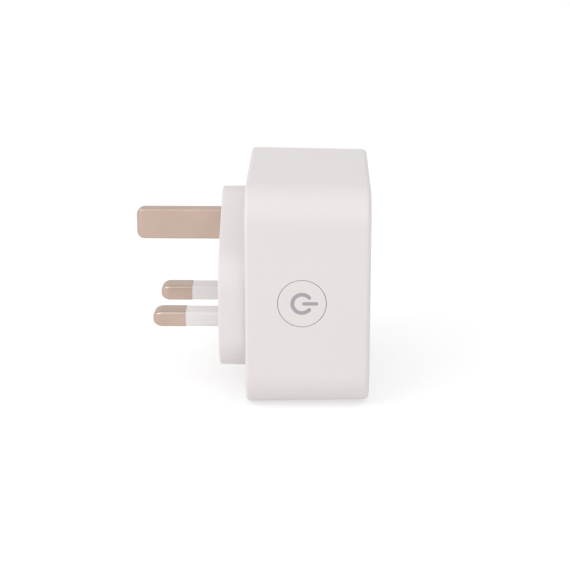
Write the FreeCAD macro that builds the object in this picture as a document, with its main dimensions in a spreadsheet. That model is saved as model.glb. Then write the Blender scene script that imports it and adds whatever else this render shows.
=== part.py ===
"""Plug-in socket adaptor with a switch and an energy meter, for three-pin 13 A wall sockets.

Frame: the origin is where the earth pin's axis meets the engagement face, the face that lies on the
wall plate. +Z is up, with the earth pin on top. The pins point along +Y, into the wall, and the socket
face looks along -Y. A depth is a distance in front of the engagement face, along -Y.
"""
import FreeCAD, Part
import math
import os
import re

import Sketcher
from FreeCAD import Placement, Rotation, Vector

SIZES = [
    # The body: a square box with large corners, drawn in a little towards the front.
    ("body_width", 58.0), ("body_height", 57.2), ("body_depth", 31.2), ("body_top", 15.6),
    ("body_corner", 9.0), ("draft", 0.8), ("front_round", 1.3), ("rear_round", 1.0),
    ("wall", 2.0), ("front_wall", 2.2), ("overlap", 0.5), ("beyond", 1.0),
    # The boss behind the body, with the outline of a plug: narrow at the earth pin.
    ("boss_height", 6.8), ("boss_inset", 0.35), ("boss_flat", 5.0), ("boss_top", 9.6),
    ("boss_shoulder", 4.7), ("boss_bottom", 32.8), ("boss_draft", 0.4), ("boss_edge", 0.45),
    ("top_round", 6.0), ("shoulder_round", 11.0), ("bottom_round", 9.6),
    ("plate_thickness", 2.5), ("plate_gap", 0.15), ("base_wall", 2.6), ("core_rib", 1.4),
    # The pins of the plug side.
    ("earth_width", 4.0), ("earth_height", 8.0), ("earth_length", 22.7), ("earth_edge", 0.6),
    ("earth_nose", 1.5), ("earth_run", 1.9), ("earth_tail", 1.7),
    ("pin_width", 6.35), ("pin_height", 4.0), ("pin_length", 17.7), ("pin_edge", 0.75),
    ("pin_nose", 1.6), ("pin_run", 2.4), ("pin_tail", 1.3), ("pin_neck", 0.55), ("pin_fit", 0.03),
    ("pin_spacing", 22.2), ("pin_drop", 22.2),
    ("sleeve_length", 9.3), ("sleeve_seat", 1.5), ("sleeve_under", 0.06),
    # The socket side: apertures, shutter, carrier and contacts.
    ("slot_clearance", 0.4), ("slot_round", 0.5),
    ("shutter_gap", 0.3), ("shutter_thickness", 2.4), ("shutter_side", 1.425), ("shutter_lap", 1.2),
    ("shutter_over", 0.2), ("arm_width", 4.6), ("wedge_width", 4.4), ("wedge_gap", 0.2),
    ("wedge_depth", 6.1), ("wedge_heel", 2.8), ("guide_width", 1.2), ("guide_over", 2.4),
    ("spring_radius", 0.9), ("spring_wire", 0.3), ("spring_turns", 6.0), ("spring_seat", 1.8),
    ("seat_width", 5.0),
    ("carrier_side", 2.225), ("carrier_plate", 1.6), ("carrier_rim", 1.2), ("chamber_wall", 1.1),
    ("earth_box_gap", 1.2), ("window_gap", 0.1),
    ("contact_strip", 0.6), ("contact_waist", 1.85), ("contact_mouth", 2.9), ("contact_root", 2.6),
    ("waist_share", 0.3), ("contact_play", 0.6), ("contact_clear", 0.3), ("contact_stand", 0.1),
    ("earth_mouth_gap", 0.5), ("pin_mouth_gap", 0.6), ("pin_end_gap", 0.3),
    ("leg_width", 3.0), ("leg_fit", 0.15), ("leg_stub", 0.4), ("tail_out", 0.6),
    # Screws and pillars.
    ("pillar_side", 4.5), ("pillar_end", 4.1), ("pillar_radius", 3.2), ("pillar_gap", 0.05),
    ("screw_radius", 1.45), ("screw_length", 9.5), ("screw_head_radius", 2.6), ("screw_head", 1.5),
    ("screw_recess", 1.7), ("screw_cross", 0.6), ("cross_share", 1.2), ("thread_gap", 0.05),
    ("post_x", 12.0), ("post_drop", 4.0), ("post_radius", 2.4), ("post_screw", 1.1),
    ("post_screw_length", 5.0), ("post_head_radius", 2.1), ("post_head", 1.3),
    # The main circuit board and what stands on it.
    ("board_gap", 3.1), ("board_thickness", 1.6), ("board_clear", 0.6), ("notch", 7.2),
    ("relay_length", 18.4), ("relay_width", 10.2), ("relay_height", 15.3), ("relay_x", 8.2),
    ("relay_clear", 0.6), ("relay_stand", 0.3), ("relay_leg", 0.45), ("leg_gap", 0.05),
    ("leg_row_share", 0.35),
    ("film_length", 13.0), ("film_width", 5.0), ("film_height", 11.0), ("film_x", 11.0),
    ("varistor_radius", 4.6), ("varistor_thickness", 3.6), ("varistor_gap", 0.8),
    ("can_radius", 3.4), ("can_height", 12.0), ("can_gap", 0.8), ("can_pitch", 7.6),
    ("can_drop", 8.0), ("output_radius", 2.8), ("output_height", 7.0),
    ("coil_radius", 2.6), ("coil_height", 8.0), ("coil_core", 1.1), ("core_out", 0.6),
    ("fuse_radius", 1.5), ("fuse_length", 7.0), ("bridge_size", 4.7), ("bridge_height", 2.4),
    ("side_part_x", 12.0), ("side_part_z", 3.4),
    ("chip_length", 4.9), ("chip_width", 3.9), ("chip_height", 1.5), ("lead_reach", 1.0),
    ("lead_width", 0.4), ("lead_pitch", 1.27), ("lead_height", 0.25), ("chip_stand", 0.1),
    ("meter_drop", 18.6), ("supply_drop", 24.6),
    ("shunt_length", 7.0), ("shunt_width", 1.6), ("shunt_height", 0.8), ("shunt_drop", 28.3),
    ("link_width", 3.0), ("link_thickness", 0.8), ("link_gap", 1.0), ("link_clear", 0.38),
    # The small board on the side, with the push switch and the radio module.
    ("side_board_gap", 5.4), ("side_board_thickness", 1.2), ("side_board_top", 3.0),
    ("side_board_height", 31.0), ("side_board_depth", 17.5),
    ("header_length", 8.0), ("header_width", 2.0), ("header_height", 2.5),
    ("radio_width", 16.0), ("radio_depth", 20.0), ("radio_thickness", 1.0), ("radio_z", 9.6),
    ("shield_width", 12.0), ("shield_depth", 13.0), ("shield_height", 2.2), ("shield_start", 2.0),
    # The power button, its mark and what it presses.
    ("button_radius", 6.0), ("button_gap", 0.2), ("button_board_gap", 0.2), ("button_travel", 0.5),
    ("button_face", 1.2), ("button_skirt", 1.0), ("flange_reach", 0.6), ("flange_thickness", 0.8),
    ("flange_gap", 0.3), ("stem_radius", 1.5), ("stem_gap", 0.05),
    ("mark_radius", 2.37), ("mark_stroke", 0.9), ("mark_depth", 0.3), ("mark_opening", 41.0),
    ("bar_start", 0.5), ("bar_end", 3.6), ("bar_stroke", 0.86),
    ("switch_size", 6.0), ("switch_height", 3.0), ("plunger_radius", 1.6), ("plunger_length", 0.8),
    ("plunger_rest", 0.1), ("plunger_gap", 0.15), ("lamp_length", 1.6), ("lamp_width", 1.0),
    ("lamp_height", 0.8), ("guide_wall", 1.1), ("guide_inset", 0.4), ("guide_foot", 0.1),
    ("guide_clear", 0.4),
]

# Places worked out from the sizes, as formulas that may use each other.
PLACES = {
    "body_bottom": "(body_top - body_height)",
    "body_middle": "(body_top - body_height / 2)",
    "front_face": "(boss_height + body_depth)",
    "cover_inside": "(front_face - front_wall)",
    "plate_inside": "(boss_height + plate_thickness)",
    "board_rear": "(plate_inside + board_gap)",
    "board_front": "(board_rear + board_thickness)",
    "inner_side": "(body_width / 2 - wall)",
    "inner_top": "(body_top - wall)",
    "inner_bottom": "(body_bottom + wall)",
    "boss_width": "(2 * (inner_side - plate_gap - boss_inset))",
    "pillar_x": "(inner_side - pillar_side)",
    "pillar_top": "(inner_top - pillar_end)",
    "pillar_bottom": "(inner_bottom + pillar_end)",
    "earth_slot_width": "(earth_width + 2 * slot_clearance)",
    "earth_slot_height": "(earth_height + 2 * slot_clearance)",
    "pin_slot_width": "(pin_width + 2 * slot_clearance)",
    "pin_slot_height": "(pin_height + 2 * slot_clearance)",
    "shutter_front": "(cover_inside - shutter_gap)",
    "shutter_rear": "(shutter_front - shutter_thickness)",
    "carrier_front": "(shutter_rear - shutter_gap)",
    "carrier_rear": "(carrier_front - carrier_plate)",
    "shutter_top": "(0 - pin_drop + pin_slot_height / 2 + shutter_lap)",
    "shutter_bottom": "(0 - pin_drop - pin_slot_height / 2 - shutter_lap - shutter_over)",
    "shutter_width": "(pin_spacing + pin_slot_width + 2 * shutter_side)",
    "shutter_travel": "(pin_slot_height + shutter_lap + shutter_over)",
    "wedge_low": "(0 - earth_height / 2 - wedge_gap)",
    "wedge_back": "(shutter_front - wedge_depth)",
    "seat_top": "(inner_bottom + spring_seat)",
    "earth_root": "(board_front + contact_stand)",
    "earth_mouth": "(wedge_back - earth_mouth_gap)",
    "pin_root": "(front_face - pin_length - pin_end_gap - contact_strip)",
    "pin_mouth": "(carrier_rear - pin_mouth_gap)",
    "leaf_outer": "(contact_mouth + contact_strip)",
    "chamber_x": "(pin_width / 2 + contact_play + chamber_wall)",
    "chamber_z": "(leaf_outer + contact_clear + chamber_wall)",
    "carrier_width": "(pin_spacing + 2 * (chamber_x + carrier_side))",
    "earth_chamber_x": "(leaf_outer + contact_play + chamber_wall)",
    "earth_chamber_top": "(earth_height / 2 + contact_play + chamber_wall)",
    "earth_chamber_low": "(0 - wedge_low + wedge_heel + shutter_travel + contact_clear + chamber_wall)",
    "relay_z": "(inner_bottom + relay_clear + relay_width / 2)",
    "relay_row": "(relay_z + relay_width * leg_row_share)",
    "can_x": "(inner_side - can_gap - can_radius)",
    "side_board_x": "(inner_side - side_board_gap)",
    "flange_radius": "(button_radius + button_gap + flange_reach)",
    "button_depth": "(board_front + flange_radius + button_board_gap)",
    "button_wall": "(body_width / 2 - (button_depth - boss_height) * tan(draft * 1deg))",
    "plunger_out": "(button_travel + plunger_rest)",
    "guide_outer": "(button_radius - guide_inset)",
    "guide_inner": "(guide_outer - guide_wall)",
    "guide_start": "(side_board_x + lamp_height + guide_foot)",
    "guide_end": "(inner_side - flange_gap - flange_thickness - button_travel - guide_clear)",
}

SHEET = "Sizes"
VALUES = dict(SIZES)
WORD = re.compile(r"[a-z_]+[a-z]")


def formula(text):
    """Writes a formula in the sheet's words as an expression that names the sheet's cells."""
    def word(match):
        name = match.group(0)
        if name in PLACES:
            return formula(PLACES[name])
        return f"{SHEET}.{name}" if name in VALUES else name
    return WORD.sub(word, text)


def bind(item, prop, text):
    """Ties a property of item to a formula in the sheet's words."""
    item.setExpression(prop, formula(text))


def make_sheet():
    sheet = DOC.addObject("Spreadsheet::Sheet", SHEET)
    for row, (name, size) in enumerate(SIZES, start=1):
        sheet.set(f"A{row}", name)
        sheet.set(f"B{row}", str(size))
        sheet.setAlias(f"B{row}", name)
    DOC.recompute()
    return sheet


# ---------------------------------------------------------------- sketches and PartDesign features

def make_body(label):
    body = DOC.addObject("PartDesign::Body", label)
    body.Label = label
    return body


def make_sketch(body, role, offset, shift=("0", "0")):
    """A sketch parallel to an origin plane of the body, offset along that plane's normal."""
    plane = next(p for p in body.Origin.OriginFeatures if p.Role == role)
    sketch = body.newObject("Sketcher::SketchObject", f"{body.Name}_sketch")
    sketch.AttachmentSupport = [(plane, "")]
    sketch.MapMode = "FlatFace"
    bind(sketch, "AttachmentOffset.Base.x", shift[0])
    bind(sketch, "AttachmentOffset.Base.y", shift[1])
    bind(sketch, "AttachmentOffset.Base.z", offset)
    return sketch


def front_sketch(body, depth, shift=("0", "0")):
    """A sketch facing the front at a depth: its x is X, its y is Z and its normal is -Y."""
    return make_sketch(body, "XZ_Plane", depth, shift)


def pin_point(sketch, index, corner, place):
    """Ties one point of the sketch to two formulas, its distances from the sketch's origin."""
    for axis, text in zip("XY", place):
        row = sketch.addConstraint(Sketcher.Constraint(f"Distance{axis}", -1, 1, index, corner, 1.0))
        bind(sketch, f"Constraints[{row}]", text)


def outline(sketch, points):
    """A closed outline through points, each a pair of formulas."""
    first = sketch.GeometryCount
    count = len(points)
    turn = 2 * math.pi / count
    spots = [Vector(math.cos(turn * k), math.sin(turn * k), 0) for k in range(count)]
    for k in range(count):
        sketch.addGeometry(Part.LineSegment(spots[k], spots[(k + 1) % count]))
    for k in range(count):
        following = first + (k + 1) % count
        sketch.addConstraint(Sketcher.Constraint("Coincident", first + k, 2, following, 1))
    for k, place in enumerate(points):
        pin_point(sketch, first + k, 1, place)


def rectangle(sketch, left, right, low, high):
    outline(sketch, [(left, low), (right, low), (right, high), (left, high)])


def circle(sketch, x, y, radius):
    index = sketch.addGeometry(Part.Circle(Vector(0, 0, 0), Vector(0, 0, 1), 1.0))
    pin_point(sketch, index, 3, (x, y))
    row = sketch.addConstraint(Sketcher.Constraint("Radius", index, 1.0))
    bind(sketch, f"Constraints[{row}]", radius)


def rounded_outline(sketch, width, height, radius):
    """A rectangle with round corners, centred on the sketch's origin."""
    corners = [(1, -1), (1, 1), (-1, 1), (-1, -1)]
    sketch.addGeometry(Part.LineSegment(Vector(-2, -3, 0), Vector(2, -3, 0)))
    sketch.addGeometry(Part.LineSegment(Vector(3, -2, 0), Vector(3, 2, 0)))
    sketch.addGeometry(Part.LineSegment(Vector(2, 3, 0), Vector(-2, 3, 0)))
    sketch.addGeometry(Part.LineSegment(Vector(-3, 2, 0), Vector(-3, -2, 0)))
    for k, (sx, sy) in enumerate(corners):
        round_corner = Part.Circle(Vector(2 * sx, 2 * sy, 0), Vector(0, 0, 1), 1.0)
        start = (k - 1) * math.pi / 2
        sketch.addGeometry(Part.ArcOfCircle(round_corner, start, start + math.pi / 2))
    for k in range(4):
        sketch.addConstraint(Sketcher.Constraint("Tangent", k, 2, 4 + k, 1))
        sketch.addConstraint(Sketcher.Constraint("Tangent", 4 + k, 2, (k + 1) % 4, 1))
        sketch.addConstraint(Sketcher.Constraint("Vertical" if k % 2 else "Horizontal", k))
    for k in range(5, 8):
        sketch.addConstraint(Sketcher.Constraint("Equal", 4, k))
    sketch.addConstraint(Sketcher.Constraint("Symmetric", 4, 3, 6, 3, -1, 1))
    wide = sketch.addConstraint(Sketcher.Constraint("DistanceX", 3, 1, 1, 1, 6.0))
    tall = sketch.addConstraint(Sketcher.Constraint("DistanceY", 0, 1, 2, 1, 6.0))
    bend = sketch.addConstraint(Sketcher.Constraint("Radius", 4, 1.0))
    for row, text in ((wide, width), (tall, height), (bend, radius)):
        bind(sketch, f"Constraints[{row}]", text)


def pad(body, sketch, length, backwards=False, both=False, taper=None):
    feature = body.newObject("PartDesign::Pad", f"{body.Name}_pad")
    feature.Profile = sketch
    feature.Reversed = backwards
    feature.Midplane = both
    bind(feature, "Length", length)
    if taper:
        bind(feature, "TaperAngle", taper)
    DOC.recompute()
    return feature


def pocket(body, sketch, length, frontwards=False):
    """Cuts along the reverse of the sketch's normal, or along the normal, and checks that it cut."""
    before = body.Shape.Volume
    feature = body.newObject("PartDesign::Pocket", f"{body.Name}_pocket")
    feature.Profile = sketch
    feature.Reversed = frontwards
    bind(feature, "Length", length)
    DOC.recompute()
    if body.Shape.Volume > before - 1e-6:
        raise RuntimeError(f"{feature.Name} cuts nothing")
    return feature


def fillet(body, chosen, radius):
    """Rounds the edges of the body's newest feature for which chosen(edge) holds."""
    base = body.Tip
    names = [f"Edge{k}" for k, edge in enumerate(base.Shape.Edges, start=1) if chosen(edge)]
    feature = body.newObject("PartDesign::Fillet", f"{body.Name}_fillet")
    feature.Base = (base, names)
    bind(feature, "Radius", radius)
    DOC.recompute()
    return feature


def runs_deep(edge):
    """True for an edge that runs front to back, upright to the engagement face."""
    ends = [v.Point for v in edge.Vertexes]
    run = ends[-1] - ends[0]
    return run.Length > 0 and abs(run.y) > 0.9 * run.Length


def at_depth(edge, depth):
    """True for an edge that lies wholly at one depth."""
    box = edge.BoundBox
    return abs(box.YMin + depth) < 1e-4 and abs(box.YMax + depth) < 1e-4


# ---------------------------------------------------------------- Part primitives and booleans

def box(name, low, size):
    """A Part::Box from the formulas of its low corner (x, front depth, z) and its three sizes."""
    item = DOC.addObject("Part::Box", name)
    for prop, text in zip(("Length", "Width", "Height"), size):
        bind(item, prop, text)
    bind(item, "Placement.Base.x", low[0])
    bind(item, "Placement.Base.y", f"0 - ({low[1]})")
    bind(item, "Placement.Base.z", low[2])
    return item


def standing(name, x, z, length, height, width, depth="board_front"):
    """A block centred on x and z that stands on the main board and rises towards the front."""
    low = (f"{x} - ({length}) / 2", f"{depth} + {height}", f"{z} - ({width}) / 2")
    return box(name, low, (length, height, width))


TURNS = {
    "-Y": Rotation(Vector(1, 0, 0), 90),
    "Y": Rotation(Vector(1, 0, 0), -90),
    "X": Rotation(Vector(0, 1, 0), 90),
    "-X": Rotation(Vector(0, 1, 0), -90),
    "Z": Rotation(),
}


def cylinder(name, start, radius, length, axis):
    """A Part::Cylinder from start (x, depth, z), all formulas, along an axis of the frame."""
    item = DOC.addObject("Part::Cylinder", name)
    item.Placement = Placement(Vector(), TURNS[axis])
    bind(item, "Radius", radius)
    bind(item, "Height", length)
    bind(item, "Placement.Base.x", start[0])
    bind(item, "Placement.Base.y", f"0 - ({start[1]})")
    bind(item, "Placement.Base.z", start[2])
    return item


def cut(name, base, tools):
    item = DOC.addObject("Part::Cut", name)
    item.Base = base
    item.Tool = tools[0] if len(tools) == 1 else fuse(f"{name}_tools", tools)
    return item


def fuse(name, items):
    item = DOC.addObject("Part::MultiFuse", name)
    item.Shapes = items
    item.Refine = True
    return item


def gather(name, items):
    """One node of separate solids."""
    item = DOC.addObject("Part::Compound", name)
    item.Links = items
    return item


# ---------------------------------------------------------------- housing

PILLARS = [(x, z) for x in ("pillar_x", "0 - pillar_x") for z in ("pillar_top", "pillar_bottom")]
LIVE_X = "pin_spacing / 2"
NEUTRAL_X = "0 - pin_spacing / 2"


def make_front_cover():
    """The square shell with the socket apertures, the button hole and four screw pillars."""
    cover = make_body("front_cover")
    blank = front_sketch(cover, "boss_height")
    rectangle(blank, "0 - body_width / 2", "body_width / 2", "body_bottom", "body_top")
    pad(cover, blank, "body_depth", taper="0 - draft")
    fillet(cover, runs_deep, "body_corner")
    front, rear = VALUES["boss_height"] + VALUES["body_depth"], VALUES["boss_height"]
    fillet(cover, lambda edge: at_depth(edge, front), "front_round")
    fillet(cover, lambda edge: at_depth(edge, rear), "rear_round")

    hollow = front_sketch(cover, "boss_height")
    rounded_outline(hollow, "2 * inner_side", "body_height - 2 * wall", "body_corner - wall")
    bind(hollow, "AttachmentOffset.Base.y", "body_middle")
    pocket(cover, hollow, "body_depth - front_wall", frontwards=True)

    pillars = front_sketch(cover, "cover_inside + overlap")
    for x, z in PILLARS:
        circle(pillars, x, z, "pillar_radius")
    pad(cover, pillars, "cover_inside + overlap - plate_inside - pillar_gap", backwards=True)
    pilots = front_sketch(cover, "plate_inside")
    for x, z in PILLARS:
        circle(pilots, x, z, "screw_radius + thread_gap")
    pocket(cover, pilots, "screw_length", frontwards=True)

    ribs = front_sketch(cover, "cover_inside + overlap")
    near = "shutter_width / 2 + shutter_gap"
    far = f"{near} + guide_width"
    low, high = "shutter_bottom - shutter_travel - guide_over", "shutter_top"
    rectangle(ribs, near, far, low, high)
    rectangle(ribs, f"0 - ({far})", f"0 - ({near})", low, high)
    pad(cover, ribs, "cover_inside + overlap - carrier_front", backwards=True)
    seat = front_sketch(cover, "cover_inside + overlap")
    rectangle(seat, "0 - seat_width / 2", "seat_width / 2", "inner_bottom - overlap", "seat_top")
    pad(cover, seat, "cover_inside + overlap - carrier_front", backwards=True)

    slots = front_sketch(cover, "cover_inside")
    half = "earth_slot_height / 2"
    rectangle(slots, "0 - earth_slot_width / 2", "earth_slot_width / 2", f"0 - {half}", half)
    for x in (LIVE_X, NEUTRAL_X):
        rectangle(slots, f"{x} - pin_slot_width / 2", f"{x} + pin_slot_width / 2",
                  "0 - pin_drop - pin_slot_height / 2", "0 - pin_drop + pin_slot_height / 2")
    pocket(cover, slots, "front_wall + beyond", frontwards=True)
    wall = VALUES["front_wall"]
    reach = (VALUES["pin_spacing"] + VALUES["pin_width"]) / 2 + 1
    fillet(cover, lambda e: runs_deep(e) and abs(e.Length - wall) < 1e-3 and abs(e.BoundBox.XMax) < reach,
           "slot_round")

    hole = make_sketch(cover, "YZ_Plane", "0")
    circle(hole, "0 - button_depth", "body_middle", "button_radius + button_gap")
    pocket(cover, hole, "body_width")
    return cover


def make_rear_base():
    """The rear plate with the boss, cored from inside, with the pin holes and the screw holes."""
    base = make_body("rear_base")
    plate = front_sketch(base, "boss_height", ("0", "body_middle"))
    rounded_outline(plate, "2 * inner_side - 2 * plate_gap", "body_height - 2 * wall - 2 * plate_gap",
                    "body_corner - wall - plate_gap")
    pad(base, plate, "plate_thickness")

    boss = front_sketch(base, "boss_height + overlap")
    outline(boss, [
        ("0 - boss_width / 2", "0 - boss_bottom"), ("boss_width / 2", "0 - boss_bottom"),
        ("boss_width / 2", "0 - boss_shoulder"), ("boss_flat / 2", "boss_top"),
        ("0 - boss_flat / 2", "boss_top"), ("0 - boss_width / 2", "0 - boss_shoulder"),
    ])
    pad(base, boss, "boss_height + overlap", backwards=True, taper="0 - boss_draft")

    def corner(edge, height):
        """True for an edge of the boss that runs deep at a height, within its draft."""
        at_rear = edge.BoundBox.YMax > -1e-3 and runs_deep(edge)
        return at_rear and abs(edge.BoundBox.Center.z - height) < 1

    for height, radius in ((VALUES["boss_top"], "top_round"), (-VALUES["boss_shoulder"], "shoulder_round"),
                           (-VALUES["boss_bottom"], "bottom_round")):
        fillet(base, lambda e: corner(e, height), radius)
    fillet(base, lambda e: at_depth(e, 0), "boss_edge")

    cores = front_sketch(base, "plate_inside")
    inner = "pin_spacing / 2 - pin_width / 2 - core_rib"
    outer = "pin_spacing / 2 + pin_width / 2 + core_rib"
    low, high = "base_wall - boss_bottom + core_rib", "0 - earth_height - core_rib"
    rectangle(cores, f"0 - ({inner})", inner, low, high)
    rectangle(cores, outer, "boss_width / 2 - base_wall", low, high)
    rectangle(cores, "base_wall - boss_width / 2", f"0 - ({outer})", low, high)
    pocket(base, cores, "plate_inside - base_wall")

    for width, height, edge, x, z in (
        ("earth_width", "earth_height", "earth_edge", "0", "0"),
        ("pin_width", "pin_height", "pin_edge", LIVE_X, "0 - pin_drop"),
        ("pin_width", "pin_height", "pin_edge", NEUTRAL_X, "0 - pin_drop"),
    ):
        hole = front_sketch(base, "plate_inside", (x, z))
        rounded_outline(hole, f"{width} + 2 * pin_fit", f"{height} + 2 * pin_fit", edge)
        pocket(base, hole, "plate_inside + beyond")

    clearance = front_sketch(base, "plate_inside")
    recesses = front_sketch(base, "boss_height + screw_recess")
    for x, z in PILLARS:
        circle(clearance, x, z, "screw_radius + thread_gap")
        circle(recesses, x, z, "screw_head_radius + 2 * thread_gap")
    pocket(base, clearance, "plate_thickness + beyond")
    pocket(base, recesses, "screw_recess + beyond")

    posts = front_sketch(base, "plate_inside - overlap")
    pilots = front_sketch(base, "board_rear")
    for x in ("post_x", "0 - post_x"):
        circle(posts, x, "0 - post_drop", "post_radius")
        circle(pilots, x, "0 - post_drop", "post_screw + thread_gap")
    pad(base, posts, "board_gap + overlap")
    pocket(base, pilots, "post_screw_length")
    return base


def make_screw(name, x, z, depth, sizes, axis):
    """A pan-head screw with a cross recess: its head's underside at a depth, its shank along an axis."""
    radius, length, head_radius, head = sizes
    sign = "+" if axis == "Y" else "-"
    shank = cylinder(f"{name}_shank", (x, depth, z), radius, length, "-Y" if axis == "-Y" else "Y")
    cap = cylinder(f"{name}_head", (x, depth, z), head_radius, head, "Y" if axis == "-Y" else "-Y")
    blank = fuse(f"{name}_blank", [shank, cap])
    slots = []
    top = f"{depth} {sign} ({head})"
    cross = f"cross_share * {head_radius}"
    for part, (wide, tall) in enumerate(((cross, "screw_cross"), ("screw_cross", cross))):
        low = (f"{x} - {wide} / 2", f"{top} + screw_cross", f"{z} - {tall} / 2")
        slots.append(box(f"{name}_slot{part}", low, (wide, "2 * screw_cross", tall)))
    return cut(name, blank, slots)


def make_screws():
    """Four case screws from behind, and two that hold the main board on its posts."""
    case = ("screw_radius", "screw_length", "screw_head_radius", "screw_head")
    under = "boss_height + screw_recess"
    case_screws = [make_screw(f"case_screw{k}", x, z, under, case, "-Y")
                   for k, (x, z) in enumerate(PILLARS)]
    board = ("post_screw", "post_screw_length", "post_head_radius", "post_head")
    board_screws = [make_screw(f"board_screw{k}", x, "0 - post_drop", "board_front", board, "Y")
                    for k, x in enumerate(("post_x", "0 - post_x"))]
    return {"case_screws": gather("case_screws", case_screws),
            "board_screws": gather("board_screws", board_screws)}


# ---------------------------------------------------------------- pins

NOSE_STEPS = 5


def nose_share(part):
    """How far the nose has drawn in at a part of its run: an ellipse, cut just short of its end."""
    return 1 - math.sqrt(1 - (0.985 * part) ** 2)


def make_nose(body, size, start, at):
    """Lofts the rounded end of a pin from its full section to its blunt tip."""
    width, height, edge, inset, run = size
    sections = []
    for step in range(NOSE_STEPS):
        part = math.sin(step / (NOSE_STEPS - 1) * math.pi / 2)
        share = round(nose_share(part), 4)
        sketch = front_sketch(body, f"0 - ({start}) - {run} * {part:.4f}", at)
        rounded_outline(sketch, f"{width} - 2 * {inset} * {share}", f"{height} - 2 * {inset} * {share}",
                        f"{edge} * (1 - 0.7 * {share})")
        sections.append(sketch)
    DOC.recompute()
    nose = body.newObject("PartDesign::AdditiveLoft", f"{body.Name}_nose")
    nose.Profile = sections[0]
    nose.Sections = sections[1:]
    DOC.recompute()
    return nose


def make_earth_pin():
    """The solid brass earth pin, with a tail that the earth contact is riveted to."""
    pin = make_body("earth_pin")
    shank = front_sketch(pin, "plate_inside")
    rounded_outline(shank, "earth_width", "earth_height", "earth_edge")
    pad(pin, shank, "plate_inside + earth_length - earth_run", backwards=True)
    nose = ("earth_width", "earth_height", "earth_edge", "earth_nose", "earth_run")
    make_nose(pin, nose, "earth_length - earth_run", ("0", "0"))
    tail = front_sketch(pin, "plate_inside - overlap")
    circle(tail, "0", "0", "earth_tail")
    pad(pin, tail, "earth_root + contact_strip - plate_inside + overlap")
    return pin


def make_power_pin(label, x):
    """A flat power pin: necked where its sleeve sits, with a tail that is soldered to the board."""
    at = (x, "0 - pin_drop")
    pin = make_body(label)
    root = front_sketch(pin, "plate_inside", at)
    rounded_outline(root, "pin_width", "pin_height", "pin_edge")
    pad(pin, root, "plate_inside - sleeve_seat", backwards=True)
    neck = front_sketch(pin, "plate_inside - overlap", at)
    rounded_outline(neck, "pin_width - 2 * pin_neck", "pin_height - 2 * pin_neck", "pin_edge")
    pad(pin, neck, "plate_inside + sleeve_length", backwards=True)
    bare = front_sketch(pin, "0 - sleeve_length", at)
    rounded_outline(bare, "pin_width", "pin_height", "pin_edge")
    pad(pin, bare, "pin_length - pin_run - sleeve_length", backwards=True)
    nose = ("pin_width", "pin_height", "pin_edge", "pin_nose", "pin_run")
    make_nose(pin, nose, "pin_length - pin_run", at)
    tail = front_sketch(pin, "plate_inside - overlap", at)
    circle(tail, "0", "0", "pin_tail")
    pad(pin, tail, "board_front + tail_out - plate_inside + overlap")
    return pin


def make_sleeve(label, x):
    """The moulded insulating sleeve on a power pin, a hair under the bare pin's size."""
    at = (x, "0 - pin_drop")
    sleeve = make_body(label)
    skin = front_sketch(sleeve, "sleeve_seat", at)
    rounded_outline(skin, "pin_width - 2 * sleeve_under", "pin_height - 2 * sleeve_under", "pin_edge")
    pad(sleeve, skin, "sleeve_seat + sleeve_length", backwards=True)
    bore = front_sketch(sleeve, "sleeve_seat", at)
    rounded_outline(bore, "pin_width - 2 * pin_neck", "pin_height - 2 * pin_neck", "pin_edge")
    pocket(sleeve, bore, "sleeve_seat + sleeve_length + beyond")
    return sleeve


# ---------------------------------------------------------------- socket

def leaf_outline(root, mouth):
    """Half-widths and depths of a contact's two leaves, bent in to a waist and flared at the mouth."""
    waist = f"({mouth} - ({mouth} - {root}) * waist_share)"
    outside = [("contact_root + contact_strip", root), ("contact_waist + contact_strip", waist),
               ("leaf_outer", mouth)]
    inside = [("contact_mouth", mouth), ("contact_waist", waist),
              ("contact_root", f"{root} + contact_strip")]
    right = outside + inside
    left = [(f"0 - ({x})", depth) for x, depth in reversed(right)]
    return right + left


def make_earth_contact():
    """The earth socket contact: two leaves on a bridge that is riveted to the earth pin's tail."""
    contact = make_body("earth_contact")
    sketch = make_sketch(contact, "XY_Plane", "0")
    outline(sketch, [(x, f"0 - ({depth})") for x, depth in leaf_outline("earth_root", "earth_mouth")])
    pad(contact, sketch, "earth_height", both=True)
    rivet = front_sketch(contact, "earth_root + contact_strip + beyond")
    circle(rivet, "0", "0", "earth_tail")
    pocket(contact, rivet, "contact_strip + 2 * beyond")
    return contact


def make_power_contact(label, x):
    """A power socket contact: two leaves on a bridge, with a leg down into the main board."""
    contact = make_body(label)
    sketch = make_sketch(contact, "YZ_Plane", x)
    outline(sketch, [(f"0 - ({depth})", f"{half} - pin_drop") for half, depth in
                     leaf_outline("pin_root", "pin_mouth")])
    pad(contact, sketch, "pin_width", both=True)
    leg = front_sketch(contact, "pin_root + contact_strip / 2")
    rectangle(leg, f"{x} - leg_width / 2", f"{x} + leg_width / 2", "contact_root - pin_drop",
              "contact_root + contact_strip - pin_drop")
    pad(contact, leg, "pin_root + contact_strip / 2 - board_rear + leg_stub", backwards=True)
    return contact


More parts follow.
